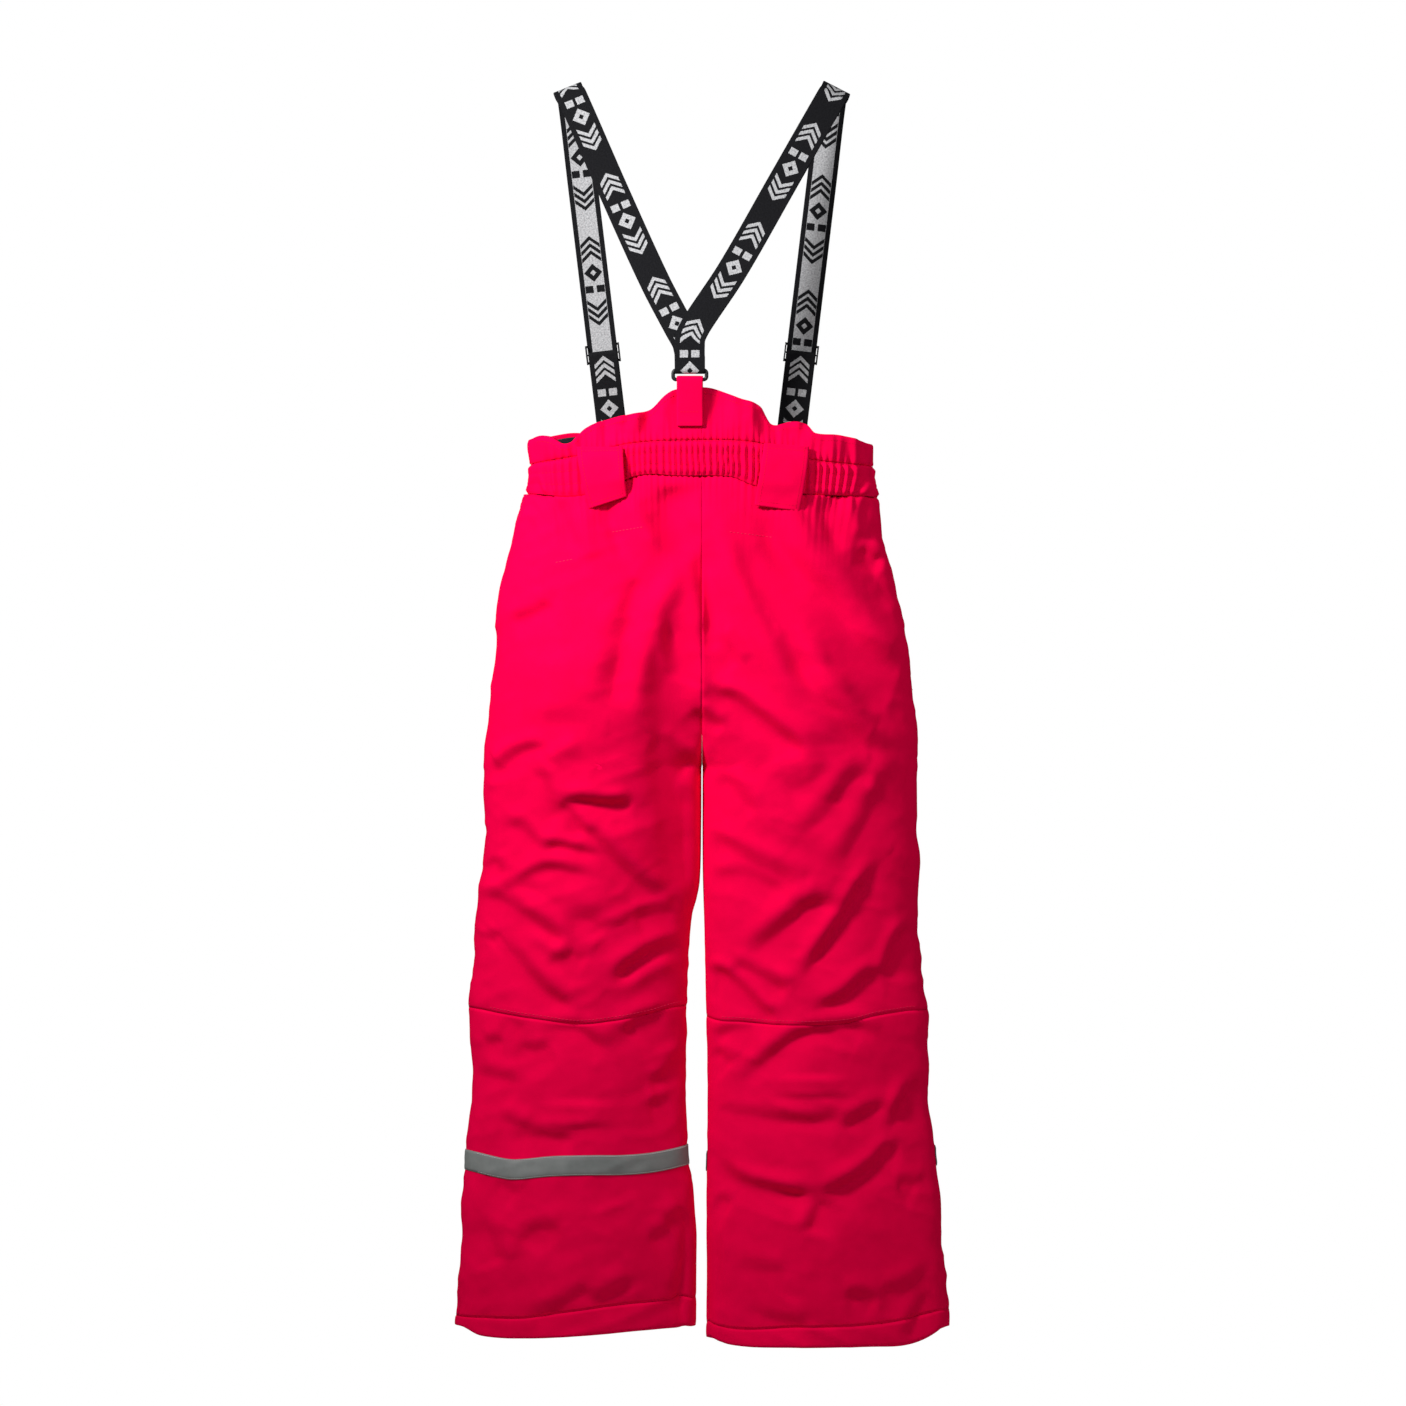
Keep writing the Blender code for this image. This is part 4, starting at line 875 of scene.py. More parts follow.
def mark_shapes(made, u, v):
    """A row of plain marks along the strap, all in one period: 1 on a mark and 0 off it."""
    away = made.math("ABSOLUTE", v)
    low = made.math("LESS_THAN", away, 0.0097)

    def blocks_pair(centre, half):
        close = made.math("LESS_THAN", made.math("ABSOLUTE", made.math("SUBTRACT", u, centre)), half)
        return made.math("MULTIPLY", close, made.math("GREATER_THAN", away, 0.0016))

    def chevron(centre, half, lean):
        shifted = made.math("SUBTRACT", made.math("SUBTRACT", u, centre), made.math("MULTIPLY", away, lean))
        return made.math("LESS_THAN", made.math("ABSOLUTE", shifted), half)

    def diamond(centre, outer, inner):
        size = made.math("ADD", made.math("ABSOLUTE", made.math("SUBTRACT", u, centre)), away)
        inside = made.math("LESS_THAN", size, outer)
        hole = made.math("GREATER_THAN", size, inner)
        return made.math("MULTIPLY", inside, hole)

    marks = [chevron(0.0080, 0.0021, 0.85), chevron(0.0152, 0.0021, 0.85), chevron(0.0224, 0.0021, 0.85),
             diamond(0.0430, 0.0092, 0.0030), blocks_pair(0.0595, 0.0036),
             chevron(0.0800, 0.0021, -0.85), chevron(0.0872, 0.0021, -0.85), chevron(0.0944, 0.0021, -0.85)]
    total = marks[0]
    for mark in marks[1:]:
        total = made.math("MAXIMUM", total, mark)
    return made.math("MULTIPLY", total, low), away


def strap_look(name, reverse):
    """Black elastic webbing with a woven row of grey-white marks, inverted on its reverse."""
    made = Shader(name)
    place = made.coordinates()
    normal, parts = webbing_normal(made, place)
    period = 0.116
    fray = made.math("MULTIPLY", made.math("SUBTRACT", made.noise(place, 900.0, 2.0), 0.5), 0.0012)
    along_ = made.math("ADD", made.math("FLOORED_MODULO", parts.outputs[0], period), fray)
    across = made.math("ADD", parts.outputs[1], fray)
    marks, away = mark_shapes(made, along_, across)
    if reverse:
        inside = made.math("LESS_THAN", away, 0.0100)
        marks = made.math("MULTIPLY", inside, made.math("SUBTRACT", 1.0, marks))
    worn = made.noise(place, 620.0, 3.0, 0.7)
    white = made.ramp(worn, 0.30, 0.62, rgb(0.22, 0.22, 0.23), rgb(0.52, 0.52, 0.53))
    ground = made.ramp(worn, 0.35, 0.75, rgb(0.006, 0.006, 0.007), rgb(0.013, 0.013, 0.015))
    mix = made.node("ShaderNodeMix", data_type="RGBA")
    made.put(mix.inputs[0], marks)
    made.put(mix.inputs[6], ground)
    made.put(mix.inputs[7], white)
    return made.finish(mix.outputs[2], 0.78, normal, specular=0.06)


def tape_look():
    """Grey reflective tape: fine glass-bead grain and a pale stitched border."""
    made = Shader("reflective_grey")
    place = made.coordinates()
    beads = made.noise(place, 2600.0, 1.0, 0.5)
    scuff = made.noise(place, 60.0, 3.0, 0.6)
    colour = made.ramp(scuff, 0.3, 0.7, rgb(0.180, 0.191, 0.186), rgb(0.220, 0.232, 0.225))
    return made.finish(colour, 0.55, made.bump(beads, 0.25, 0.0001), specular=0.35)


def thread_look(name, colour):
    made = Shader(name)
    place = made.coordinates("Object")
    twist = made.noise(place, 2400.0, 1.0)
    return made.finish(colour, 0.7, made.bump(twist, 0.3, 0.0001), specular=0.1)


def plastic_look(name, roughness):
    made = Shader(name)
    place = made.coordinates("Object")
    grain = made.noise(place, 900.0, 3.0, 0.6)
    rough = made.node("ShaderNodeMapRange", Value=made.noise(place, 160.0, 3.0))
    rough.inputs["To Min"].default_value = roughness - 0.06
    rough.inputs["To Max"].default_value = roughness + 0.08
    normal = made.bump(grain, 0.12, 0.00015)
    return made.finish(rgb(0.014, 0.014, 0.016), rough.outputs[0], normal, specular=0.25)


def metal_look():
    made = Shader("snap_nickel")
    place = made.coordinates("Object")
    brushed = made.noise(place, 700.0, 3.0, 0.6, (1.0, 1.0, 6.0))
    return made.finish(rgb(0.52, 0.52, 0.54), 0.32, made.bump(brushed, 0.08, 0.0001), metallic=1.0)


def zip_tape_look():
    made = Shader("zip_tape_black")
    place = made.coordinates()
    parts = made.node("ShaderNodeSeparateXYZ", Vector=place)
    slant = made.math("ADD", parts.outputs[0], made.math("ABSOLUTE", parts.outputs[1]))
    herring = made.math("SINE", made.math("MULTIPLY", slant, 2 * pi / 0.0011))
    return made.finish(rgb(0.016, 0.016, 0.018), 0.8, made.bump(herring, 0.4, 0.00015), specular=0.15)


# ---------------------------------------------------------------- garment

def attach(item, body, slot, *nodes):
    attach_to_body(item, body)
    if nodes:
        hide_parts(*nodes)
    return item


def bend_at_knee(item, side, slot, *nodes):
    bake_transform(item)
    if nodes:
        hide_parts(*nodes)
    return item


def pleats_under_band(x, y, z):
    """Small pleats that run down from the gathered band and die away."""
    seam = np.where(y < 0, curve(WAIST_SEAM[BACK], x), curve(WAIST_SEAM[FRONT], x))
    drop = np.maximum(seam - z, 0.0)
    reach = 0.020 + 0.013 * lattice(x * 45, y * 10, x * 0, 31)
    wave = gathers(x, y) - 0.5
    wide = lattice(x * 52, y * 30, x * 0, 33)
    strength = np.exp(-drop / reach) * smocked(x, y)
    return strength * (0.0030 * wave + 0.0048 * wide) - 0.0006 * np.exp(-drop / 0.003)


def seat_folds(x, y, z):
    return leg_folds(x, y, z) * smooth_step(0.0, 0.015, -0.395 - z) + pleats_under_band(x, y, z) * calm(x, y, z)


def band_folds(x, y, z):
    """Ribs of the smocked channel, pinched at three rows of stitching."""
    top = np.where(y < 0, curve(CHANNEL_TOP[BACK], x), curve(CHANNEL_TOP[FRONT], x))
    bottom = np.where(y < 0, curve(WAIST_SEAM[BACK], x), curve(WAIST_SEAM[FRONT], x))
    part = np.clip((top - z) / (top - bottom), 0, 1)
    wander = z + 0.0006 * lattice(x * 140, y * 40, z * 90, 41)
    ribs = gathers(x + 0.0008 * lattice(x * 30, y * 20, wander * 70, 43), y)
    pinch = np.zeros(np.shape(x))
    for row in (0.02, 0.35, 0.68, 0.98):
        pinch = np.maximum(pinch, np.exp(-((part - row) / 0.055) ** 2))
    from_seam = 0.25 + 0.75 * smooth_step(0.0, 0.16, np.minimum(part, 1 - part))
    height = 0.0034 * (ribs ** 1.3) * smocked(x, y) * from_seam
    return (height - 0.0004 * pinch * (0.5 + 0.5 * smocked(x, y))) * calm(x, y, z) + 0.0004


def ruffle(x, y, z):
    """Waves of the frill, growing towards its free edge."""
    edge = np.where(y < 0, curve(TOP_EDGE[BACK], x), curve(TOP_EDGE[FRONT], x))
    seam = np.where(y < 0, curve(CHANNEL_TOP[BACK], x), curve(CHANNEL_TOP[FRONT], x))
    part = np.clip((z - seam) / (edge - seam), 0, 1)
    wave = lattice(x * 62, y * 26, z * 14, 51) + 0.6 * lattice(x * 125, y * 50, z * 30, 53)
    ribs = (gathers(x, y) - 0.5) * np.exp(-part * (edge - seam) / 0.010)
    bib = np.where(y < 0, 1 - smooth_step(0.055, 0.085, np.abs(x)), 0.0)
    strength = (0.0018 + 0.0064 * part ** 0.8) * (1 - 0.35 * bib)
    return (wave * strength + 0.0038 * ribs) * calm(x, y, z)


def bib_folds(x, y, z):
    extra = fold_field(BIB_VALLEYS, BIB_RIDGES, x, z)
    return ruffle(x, y, z) + extra * smooth_step(0.0, 0.012, -y) * calm(x, y, z)


def make_body(looks):
    shell = [looks["shell"]]
    for side in (LEFT, RIGHT):
        name = SIDE_NAME[side]
        pairs = ((BACK, "seat_panel", "calf_panel"), (FRONT, "front_panel", "shin_panel"))
        for face, upper, lower in pairs:
            item = cloth_panel(f"{upper}_{name}_cloth", side, (face,), along(WAIST_SEAM, -0.0002),
                               along(KNEE_SEAM, 0.0001), seat_folds, shell, roll=0.0007, inner_follow=0.45)
            nodes = [f"{upper}_{name}"] + ([f"knee_section_{name}"] if face == BACK else [])
            bend_at_knee(item, side, "shell_fabric", *nodes)
            item = cloth_panel(f"{lower}_{name}_cloth", side, (face,), along(KNEE_SEAM, -0.0001),
                               along(HEM_SEAM, 0.0001), leg_folds, shell, roll=0.0007, inner_follow=0.45)
            bend_at_knee(item, side, "shell_fabric", f"{lower}_{name}")
        item = cloth_panel(f"hem_band_{name}_cloth", side, (BACK, FRONT), along(HEM_SEAM, -0.0002),
                           along(HEM_BOTTOM), leg_folds, shell, roll=0.0006, seams=(True, True, False, False))
        attach(item, f"lower_leg_{name}", "shell_fabric", f"hem_band_{name}")


def make_waist(looks):
    shell = [looks["shell"]]
    fine = 0.0014
    for side in (LEFT, RIGHT):
        name = SIDE_NAME[side]
        item = cloth_panel(f"waistband_back_{name}_cloth", side, (BACK,), along(CHANNEL_TOP, -0.0001),
                           along(WAIST_SEAM, 0.0002), band_folds, shell, fine, BAND, roll=0.0010,
                           seams=(True, True, True, False))
        attach(item, "root", "shell_fabric", *(["waistband_back"] if side == LEFT else []))
        item = cloth_panel(f"waistband_front_{name}_cloth", side, (FRONT,), along(CHANNEL_TOP, -0.0001),
                           along(WAIST_SEAM, 0.0002), band_folds, shell, fine, BAND, roll=0.0010)
        attach(item, "root", "shell_fabric", f"waistband_front_{name}")
        item = cloth_panel(f"back_bib_{name}_cloth", side, (BACK,), along(TOP_EDGE), along(CHANNEL_TOP, 0.0002),
                           bib_folds, shell, 0.0018, BAND, roll=0.0012, inner_follow=0.0,
                           seams=(True, True, True, False))
        attach(item, "root", "shell_fabric", *(["back_bib"] if side == LEFT else []))
        item = cloth_panel(f"front_frill_{name}_cloth", side, (FRONT,), along(TOP_EDGE), along(CHANNEL_TOP, 0.0002),
                           ruffle, shell, 0.0018, BAND, roll=0.0012)
        attach(item, "root", "shell_fabric", f"front_frill_{name}")


def cloth_ring(name, top, bottom, insets, thick, looks, folds=no_folds, cell=0.006, columns=44):
    """A layer once round the waist and hips; insets gives its depth at parts of the way down."""
    rows = max(2, int((top(np.zeros(1), BACK)[0] - bottom(np.zeros(1), BACK)[0]) / cell))
    outer, inner = [], []
    for part in np.linspace(0, 1, rows + 1):
        ring_out, ring_in = [], []
        for side, face in ((RIGHT, BACK), (LEFT, BACK), (LEFT, FRONT), (RIGHT, FRONT)):
            probe = np.array([0.1])
            middle = float((top(probe, face) * (1 - part) + bottom(probe, face) * part)[0])
            turns = even_turns(side, middle, columns)
            if (side, face) in ((LEFT, BACK), (RIGHT, FRONT)):
                turns = turns[::-1]
            u = turns[:-1]
            x0, _, _, _ = oval(side, face, u, np.full(len(u), middle))
            z = top(x0, face) + (bottom(x0, face) - top(x0, face)) * part
            x, y, nx, ny = oval(side, face, u, z)
            out = folds(x, y, z) - float(curve(insets, part))
            ring_out.append(np.stack([x + nx * out, y + ny * out, z], 1))
            out = out - thick
            ring_in.append(np.stack([x + nx * out, y + ny * out, z], 1))
        outer.append(np.concatenate(ring_out))
        inner.append(np.concatenate(ring_in))
    return closed_sheet(name, np.array(outer), np.array(inner), looks, closed=True)


def under_the_shell(x, y, z):
    """What the fleece gives way to: the hollows of the frill above the band, and of the seat below it."""
    channel = np.where(y < 0, curve(CHANNEL_TOP[BACK], x), curve(CHANNEL_TOP[FRONT], x))
    seam = np.where(y < 0, curve(WAIST_SEAM[BACK], x), curve(WAIST_SEAM[FRONT], x))
    above = smooth_step(-0.004, 0.002, z - channel)
    below = smooth_step(-0.004, 0.002, seam - z)
    hollows = np.minimum(bib_folds(x, y, z), 0.0) * above + np.minimum(seat_folds(x, y, z), 0.0) * below
    return np.minimum(hollows, 0.0)


def lining_ripple(x, y, z):
    return 0.0009 * lattice(x * 40, y * 40, z * 9, 61)


def ring_length(side_list, z, inset):
    """The distance once round the cloth at a height."""
    total = 0.0
    for side in side_list:
        x, y, _, _ = oval(side, FRONT, np.linspace(0, 1, 400), np.full(400, z))
        total += 2 * np.hypot(np.diff(x), np.diff(y)).sum()
    return float(total - 2 * pi * inset)


def make_linings(looks):
    fleece, lining, elastic = [looks["fleece"]], [looks["lining"]], [looks["elastic"]]
    both = (LEFT, RIGHT)
    item = cloth_ring("waist_fleece_cloth", along(TOP_EDGE, -0.0045), level(-0.470),
                      [(0.0, 0.0048), (0.15, FLEECE), (1.0, FLEECE)], 0.0018, fleece, under_the_shell, 0.003, 80)
    attach(item, "root", "black_fleece", "waist_lining")
    ring_length(both, -0.42, FLEECE)
    item = cloth_ring("waist_elastic_band", along(CHANNEL_TOP, -0.004), along(WAIST_SEAM, 0.004),
                      [(0.0, ELASTIC), (1.0, ELASTIC)], 0.0012, elastic)
    attach(item, "root", "plain_elastic", "waist_elastic")
    ring_length(both, -0.395, ELASTIC)
    item = cloth_ring("body_lining_cloth", level(-0.474), level(-0.650), [(0.0, LINING), (1.0, LINING)],
                      0.0010, lining, lining_ripple)
    attach(item, "root", "lining_fabric", "body_lining")
    ring_length(both, -0.56, LINING)
    for side in both:
        name = SIDE_NAME[side]
        item = cloth_panel(f"leg_lining_{name}_cloth", side, (BACK, FRONT), level(CROTCH_Z - 0.012), level(-0.931),
                           lining_ripple, lining, 0.006, 0.0010, LINING, 0.0, seams=(False,) * 4)
        bend_at_knee(item, side, "lining_fabric", f"leg_lining_{name}")
        ring_length((side,), -0.80, LINING)
        item = cloth_panel(f"calf_lining_{name}_cloth", side, (BACK, FRONT), level(-0.932), level(-1.130),
                           lining_ripple, lining, 0.006, 0.0010, LINING, 0.0, seams=(False,) * 4)
        bend_at_knee(item, side, "lining_fabric", f"calf_lining_{name}")
        ring_length((side,), -1.03, LINING)
        make_gaiter(side, looks)


def make_gaiter(side, looks):
    """An inner cuff gathered on to an elastic round the boot."""
    name = SIDE_NAME[side]
    top, gathered, bottom, depth = -1.132, -1.212, -1.232, 0.0140

    def narrowing(x, y, z):
        part = smooth_step(0.0, 1.0, np.clip((top - z) / (top - gathered), 0, 1))
        angle = np.arctan2(y, (np.abs(x) - 0.12) * 0.4)
        pleat = 0.0012 * np.sin(angle * 34 + 3 * lattice(x * 20, y * 20, z * 6, 71)) * part
        return pleat - LINING + 0.0010 - depth * part

    item = cloth_panel(f"snow_gaiter_{name}_cloth", side, (BACK, FRONT), level(top), level(bottom), narrowing,
                       [looks["lining"]], 0.0026, 0.0012, 0.0, 0.0, inner_follow=1.0, seams=(False,) * 4)
    attach(item, f"lower_leg_{name}", "lining_fabric", f"snow_gaiter_{name}")
    ring_length((side,), -1.18, LINING)
    inside = LINING + depth + 0.0024
    item = cloth_panel(f"gaiter_elastic_{name}_band", side, (BACK, FRONT), level(gathered), level(bottom + 0.004),
                       no_folds, [looks["elastic"]], 0.004, 0.0014, inside, 0.0, seams=(False,) * 4)
    attach(item, f"lower_leg_{name}", "plain_elastic", f"gaiter_elastic_{name}")
    ring_length((side,), -1.22, inside)


def make_tapes(looks):
    """Reflective tape over the folded cloth; the right leg's reaches a little way round to the back."""
    for side, first, last in ((LEFT, -1.0, 0.0), (RIGHT, -0.035, 1.0)):
        name = SIDE_NAME[side]
        line = TAPE_LINE[side]
        centre = float(np.mean([z for _, z in line]))
        turns = even_turns(side, centre, 150)
        turns = np.concatenate([-turns[::-1][:-1], turns])
        turns = turns[(turns >= first) & (turns <= last)]
        grids = []
        for lift in (0.0011, 0.0002):
            rows = []
            for part in np.linspace(-0.5, 0.5, 8):
                u = np.abs(turns)
                face = np.where(turns < 0, BACK, FRONT)
                x0, _, _, _ = oval(side, FRONT, u, np.full(len(u), centre))
                z = curve(line, x0) - part * TAPE_WIDTH
                x, y, nx, ny = oval(side, face, u, z)
                out = leg_folds(x, y, z) + lift * (1 - 0.5 * smooth_step(0.40, 0.5, abs(part)))
                rows.append(np.stack([x + nx * out, y + ny * out, z], 1))
            grids.append(np.array(rows))
        item = closed_sheet(f"reflective_tape_{name}_strip", grids[0], grids[1], [looks["tape"]])
        attach(item, f"lower_leg_{name}", "reflective_tape", f"reflective_tape_{name}")


def make_belt_loops(looks):
    """Wide loops sewn at both ends, standing off the band between."""
    corners = {LEFT: [(-0.1234, -0.364), (-0.078, -0.3646), (-0.074, -0.414), (-0.111, -0.426)],
               RIGHT: [(0.061, -0.361), (0.1055, -0.364), (0.096, -0.4286), (0.0514, -0.4227)]}
    stand = [(0.0, 0.0030), (0.06, 0.0034), (0.16, 0.0062), (0.35, 0.0082), (0.60, 0.0080), (0.80, 0.0050),
             (0.93, 0.0030), (1.0, 0.0022)]
    for side in (LEFT, RIGHT):
        top_left, top_right, low_right, low_left = (np.array(p) for p in corners[side])
        grids = []
        for lift in (0.0018, 0.0):
            rows = []
            for down in np.linspace(0, 1, 41):
                across = np.linspace(0, 1, 31)[:, None]
                upper = top_left + (top_right - top_left) * across
                lower = low_left + (low_right - low_left) * across
                place = upper + (lower - upper) * down
                edge = np.minimum(across[:, 0], 1 - across[:, 0]) * 0.045
                puff = 0.0011 * (1 - np.exp(-edge / 0.0035)) * np.exp(-edge / 0.022)
                crease = 0.0007 * lattice(place[:, 0] * 70, place[:, 1] * 70, place[:, 0] * 0, 81)
                out = curve(stand, down) + (lift + puff + crease if lift else crease)
                here, _ = on_shell(place[:, 0], place[:, 1], BACK, 0.0, lambda x, y, z, out=out: out)
                rows.append(here)
            grids.append(np.array(rows))
        name = SIDE_NAME[side]
        item = closed_sheet(f"belt_loop_{name}_cloth", grids[0], grids[1], [looks["shell"]])
        attach(item, "root", "shell_fabric", f"belt_loop_{name}")
        outside = grids[0]
        rows = []
        for path in (outside[:, 3], outside[:, -4], outside[3, 3:-3], outside[-4, 3:-3]):
            rows.append(stitches_on(path, outside))
        made = capsules(f"belt_loop_{name}_stitches", *join_rows(rows), 0.0022, 0.0005, 0.0005,
                        [looks["red_thread"]])
        attach(made, "root", "shell_fabric")


def stitches_on(path, around, spacing=0.0031):
    """Stitches along a path of points; around is the cloth's middle, which they face away from."""
    run = np.concatenate([[0.0], np.cumsum(np.linalg.norm(np.diff(path, axis=0), axis=1))])
    at = np.arange(spacing / 2, run[-1], spacing)
    middle = np.stack([np.interp(at, run, path[:, n]) for n in range(3)], 1)
    way = np.gradient(middle, axis=0)
    normal = np.zeros_like(middle)
    normal[:, 1] = np.sign(around.reshape(-1, 3)[:, 1].mean())
    normal[:, 0] = middle[:, 0] * 1.6
    normal = normal / np.linalg.norm(normal, axis=1, keepdims=True)
    return middle + normal * 0.0001, way, normal


def make_stitching(looks):
    red, pale = [looks["red_thread"]], [looks["pale_thread"]]
    for side in (LEFT, RIGHT):
        name = SIDE_NAME[side]
        reach = np.linspace(0.016, 0.214, 160) * side
        rows = []
        for face in (BACK, FRONT):
            rows.append(stitch_line(reach, curve(KNEE_SEAM, reach) + 0.0042, face, 0.0038))
        item = capsules(f"knee_stitches_{name}", *join_rows(rows), 0.0024, 0.00045, 0.0005,
                        [looks["soft_thread"]])
        bend_at_knee(item, side, "shell_fabric")
        rows = []
        wide = np.linspace(0.012, 0.236, 160) * side
        for face in (BACK, FRONT):
            rows.append(stitch_line(wide, curve(HEM_SEAM, wide) + 0.0030, face, 0.0036))
        item = capsules(f"hem_stitches_{name}", *join_rows(rows), 0.0023, 0.00045, 0.0005, red)
        attach(item, f"lower_leg_{name}", "shell_fabric")
        face = BACK if side == LEFT else FRONT
        span = np.linspace(0.010, 0.226, 160) * side
        edge = TAPE_WIDTH / 2 - 0.0011
        rows = [stitch_line(span, curve(TAPE_LINE[side], span) + part * edge, face, 0.0026, 0.0012)
                for part in (-1, 1)]
        item = capsules(f"tape_stitches_{name}", *join_rows(rows), 0.0019, 0.0005, 0.0004, pale)
        attach(item, f"lower_leg_{name}", "reflective_tape")
    rows = []
    for row in (0.02, 0.35, 0.68):
        for face in (BACK, FRONT):
            for side in (LEFT, RIGHT):
                x = np.linspace(0.060 if face == FRONT else 0.001, 0.160, 150) * side
                z = curve(CHANNEL_TOP[face], x) * (1 - row) + curve(WAIST_SEAM[face], x) * row
                rows.append(stitch_line(x, z, face, 0.0036, 0.0001, band_folds))
    for side in (LEFT, RIGHT):
        x = np.linspace(0.001, 0.164, 150) * side
        for face, folds in ((BACK, bib_folds), (FRONT, ruffle)):
            rows.append(stitch_line(x, curve(TOP_EDGE[face], x) - 0.0060, face, 0.0034, 0.0001, folds))
    attach(capsules("waist_stitches", *join_rows(rows), 0.0022, 0.00045, 0.0005, red), "root", "shell_fabric")
    rows = []
    for points in ([(-0.090, -0.449), (-0.056, -0.444)], [(0.0265, -0.449), (0.070, -0.454)],
                   [(-0.146, -0.479), (-0.129, -0.476)]):
        line = np.array(points)
        x, z = np.linspace(line[0, 0], line[1, 0], 20), np.linspace(line[0, 1], line[1, 1], 20)
        rows.append(stitch_line(x, z, BACK, 0.0038, folds=seat_folds))
    for side in (LEFT, RIGHT):
        for shift in (-0.013, 0.013):
            z = np.linspace(-0.458, -0.606, 40)
            x = side * (0.158 + (0.196 - 0.158) * (-0.462 - z) / 0.138 + shift)
            rows.append(stitch_line(x, z, FRONT, 0.0036, folds=seat_folds))
    z = np.linspace(-0.420, -0.552, 40)
    rows.append(stitch_line(np.full(40, 0.0125), z, FRONT, 0.0036, folds=seat_folds))
    rows.append(stitch_line(np.full(40, -0.0125), z, FRONT, 0.0036, folds=seat_folds))
    attach(capsules("seat_stitches", *join_rows(rows), 0.0023, 0.00045, 0.0005, [looks["soft_thread"]]), "root",
           "shell_fabric")


# ---------------------------------------------------------------- strips

def arc(centre, one, two, radius, start, end, steps):
    return [centre + one * radius * cos(start + (end - start) * n / steps)
            + two * radius * sin(start + (end - start) * n / steps) for n in range(steps + 1)]


def frame_at(origin, across, along_):
    """A local frame: x across, y along, z out, with along kept exact."""
    y = along_.normalized()
    x = (across - y * across.dot(y)).normalized()
    z = x.cross(y)
    made = Matrix((x, y, z)).transposed().to_4x4()
    made.translation = origin
    return made


def smooth_path(points, across, step):
    """Resample a path and the direction across it at even steps."""
    points, across = np.array(points, float), np.array(across, float)
    run = np.concatenate([[0.0], np.cumsum(np.linalg.norm(np.diff(points, axis=0), axis=1))])
    at = np.linspace(0, run[-1], max(4, int(run[-1] / step)))
    fine = np.stack([curve(list(zip(run, points[:, n])), at) for n in range(3)], 1)
    wide = np.stack([np.interp(at, run, across[:, n]) for n in range(3)], 1)
    ahead = np.gradient(fine, axis=0)
    ahead = ahead / np.linalg.norm(ahead, axis=1, keepdims=True)
    wide = wide - ahead * np.sum(wide * ahead, axis=1, keepdims=True)
    wide = wide / np.linalg.norm(wide, axis=1, keepdims=True)
    return fine, wide, np.cross(ahead, wide), at


def webbing(name, points, across, width, thickness, looks, outward, phase=0.0, step=0.0024):
    """A strap with rounded edges; its obverse faces outward at its start, and the marks run on from phase."""
    fine, wide, thick, at = smooth_path(points, across, step)
    if thick[0] @ np.array(outward) < 0:
        thick, wide = -thick, -wide
    half = width / 2
    edge = 0.0006
    outline = [(-half, 0.0)]
    for part in np.linspace(-1, 1, 13):
        outline.append((part * (half - edge), thickness / 2))
    outline.append((half, 0.0))
    for part in np.linspace(1, -1, 13):
        outline.append((part * (half - edge), -thickness / 2))
    count = len(outline)
    verts, uvs, faces, look_of = [], [], [], []
    for index in range(len(fine)):
        for across_, out in outline:
            verts.append(fine[index] + wide[index] * across_ + thick[index] * out)
            uvs.append((at[index] + phase, across_))
    for index in range(len(fine) - 1):
        for n in range(count):
            near, far = index * count + n, index * count + (n + 1) % count
            faces.append((near, far, far + count, near + count))
            look_of.append(0 if n < 14 else 1)
    faces.append(tuple(range(count)))
    faces.append(tuple((len(fine) - 1) * count + n for n in range(count)))
    look_of += [0, 0]
    return solid(name, verts, faces, looks, uvs, look_of, sharp=50)


def back_plane():
    top = Vector((0.0, -STRAP_TOP, -STRAP_TOP))
    ring = Vector((0.0, BACK_RING.y - WRAP, BACK_Y_Z))
    return top, (ring - top).normalized()


def front_frame(side):
    """The local frame of a front strap: y down along it, z towards the body, origin at its top."""
    top = Vector((side * STRAP_TOP_X, STRAP_TOP, -STRAP_TOP))
    end = Vector((side * FRONT_RING_TOP[0], FRONT_RING_TOP[1], FRONT_RING_TOP[2]))
    return frame_at(top, Vector((-1, 0, 0)), end - top), (end - top).length


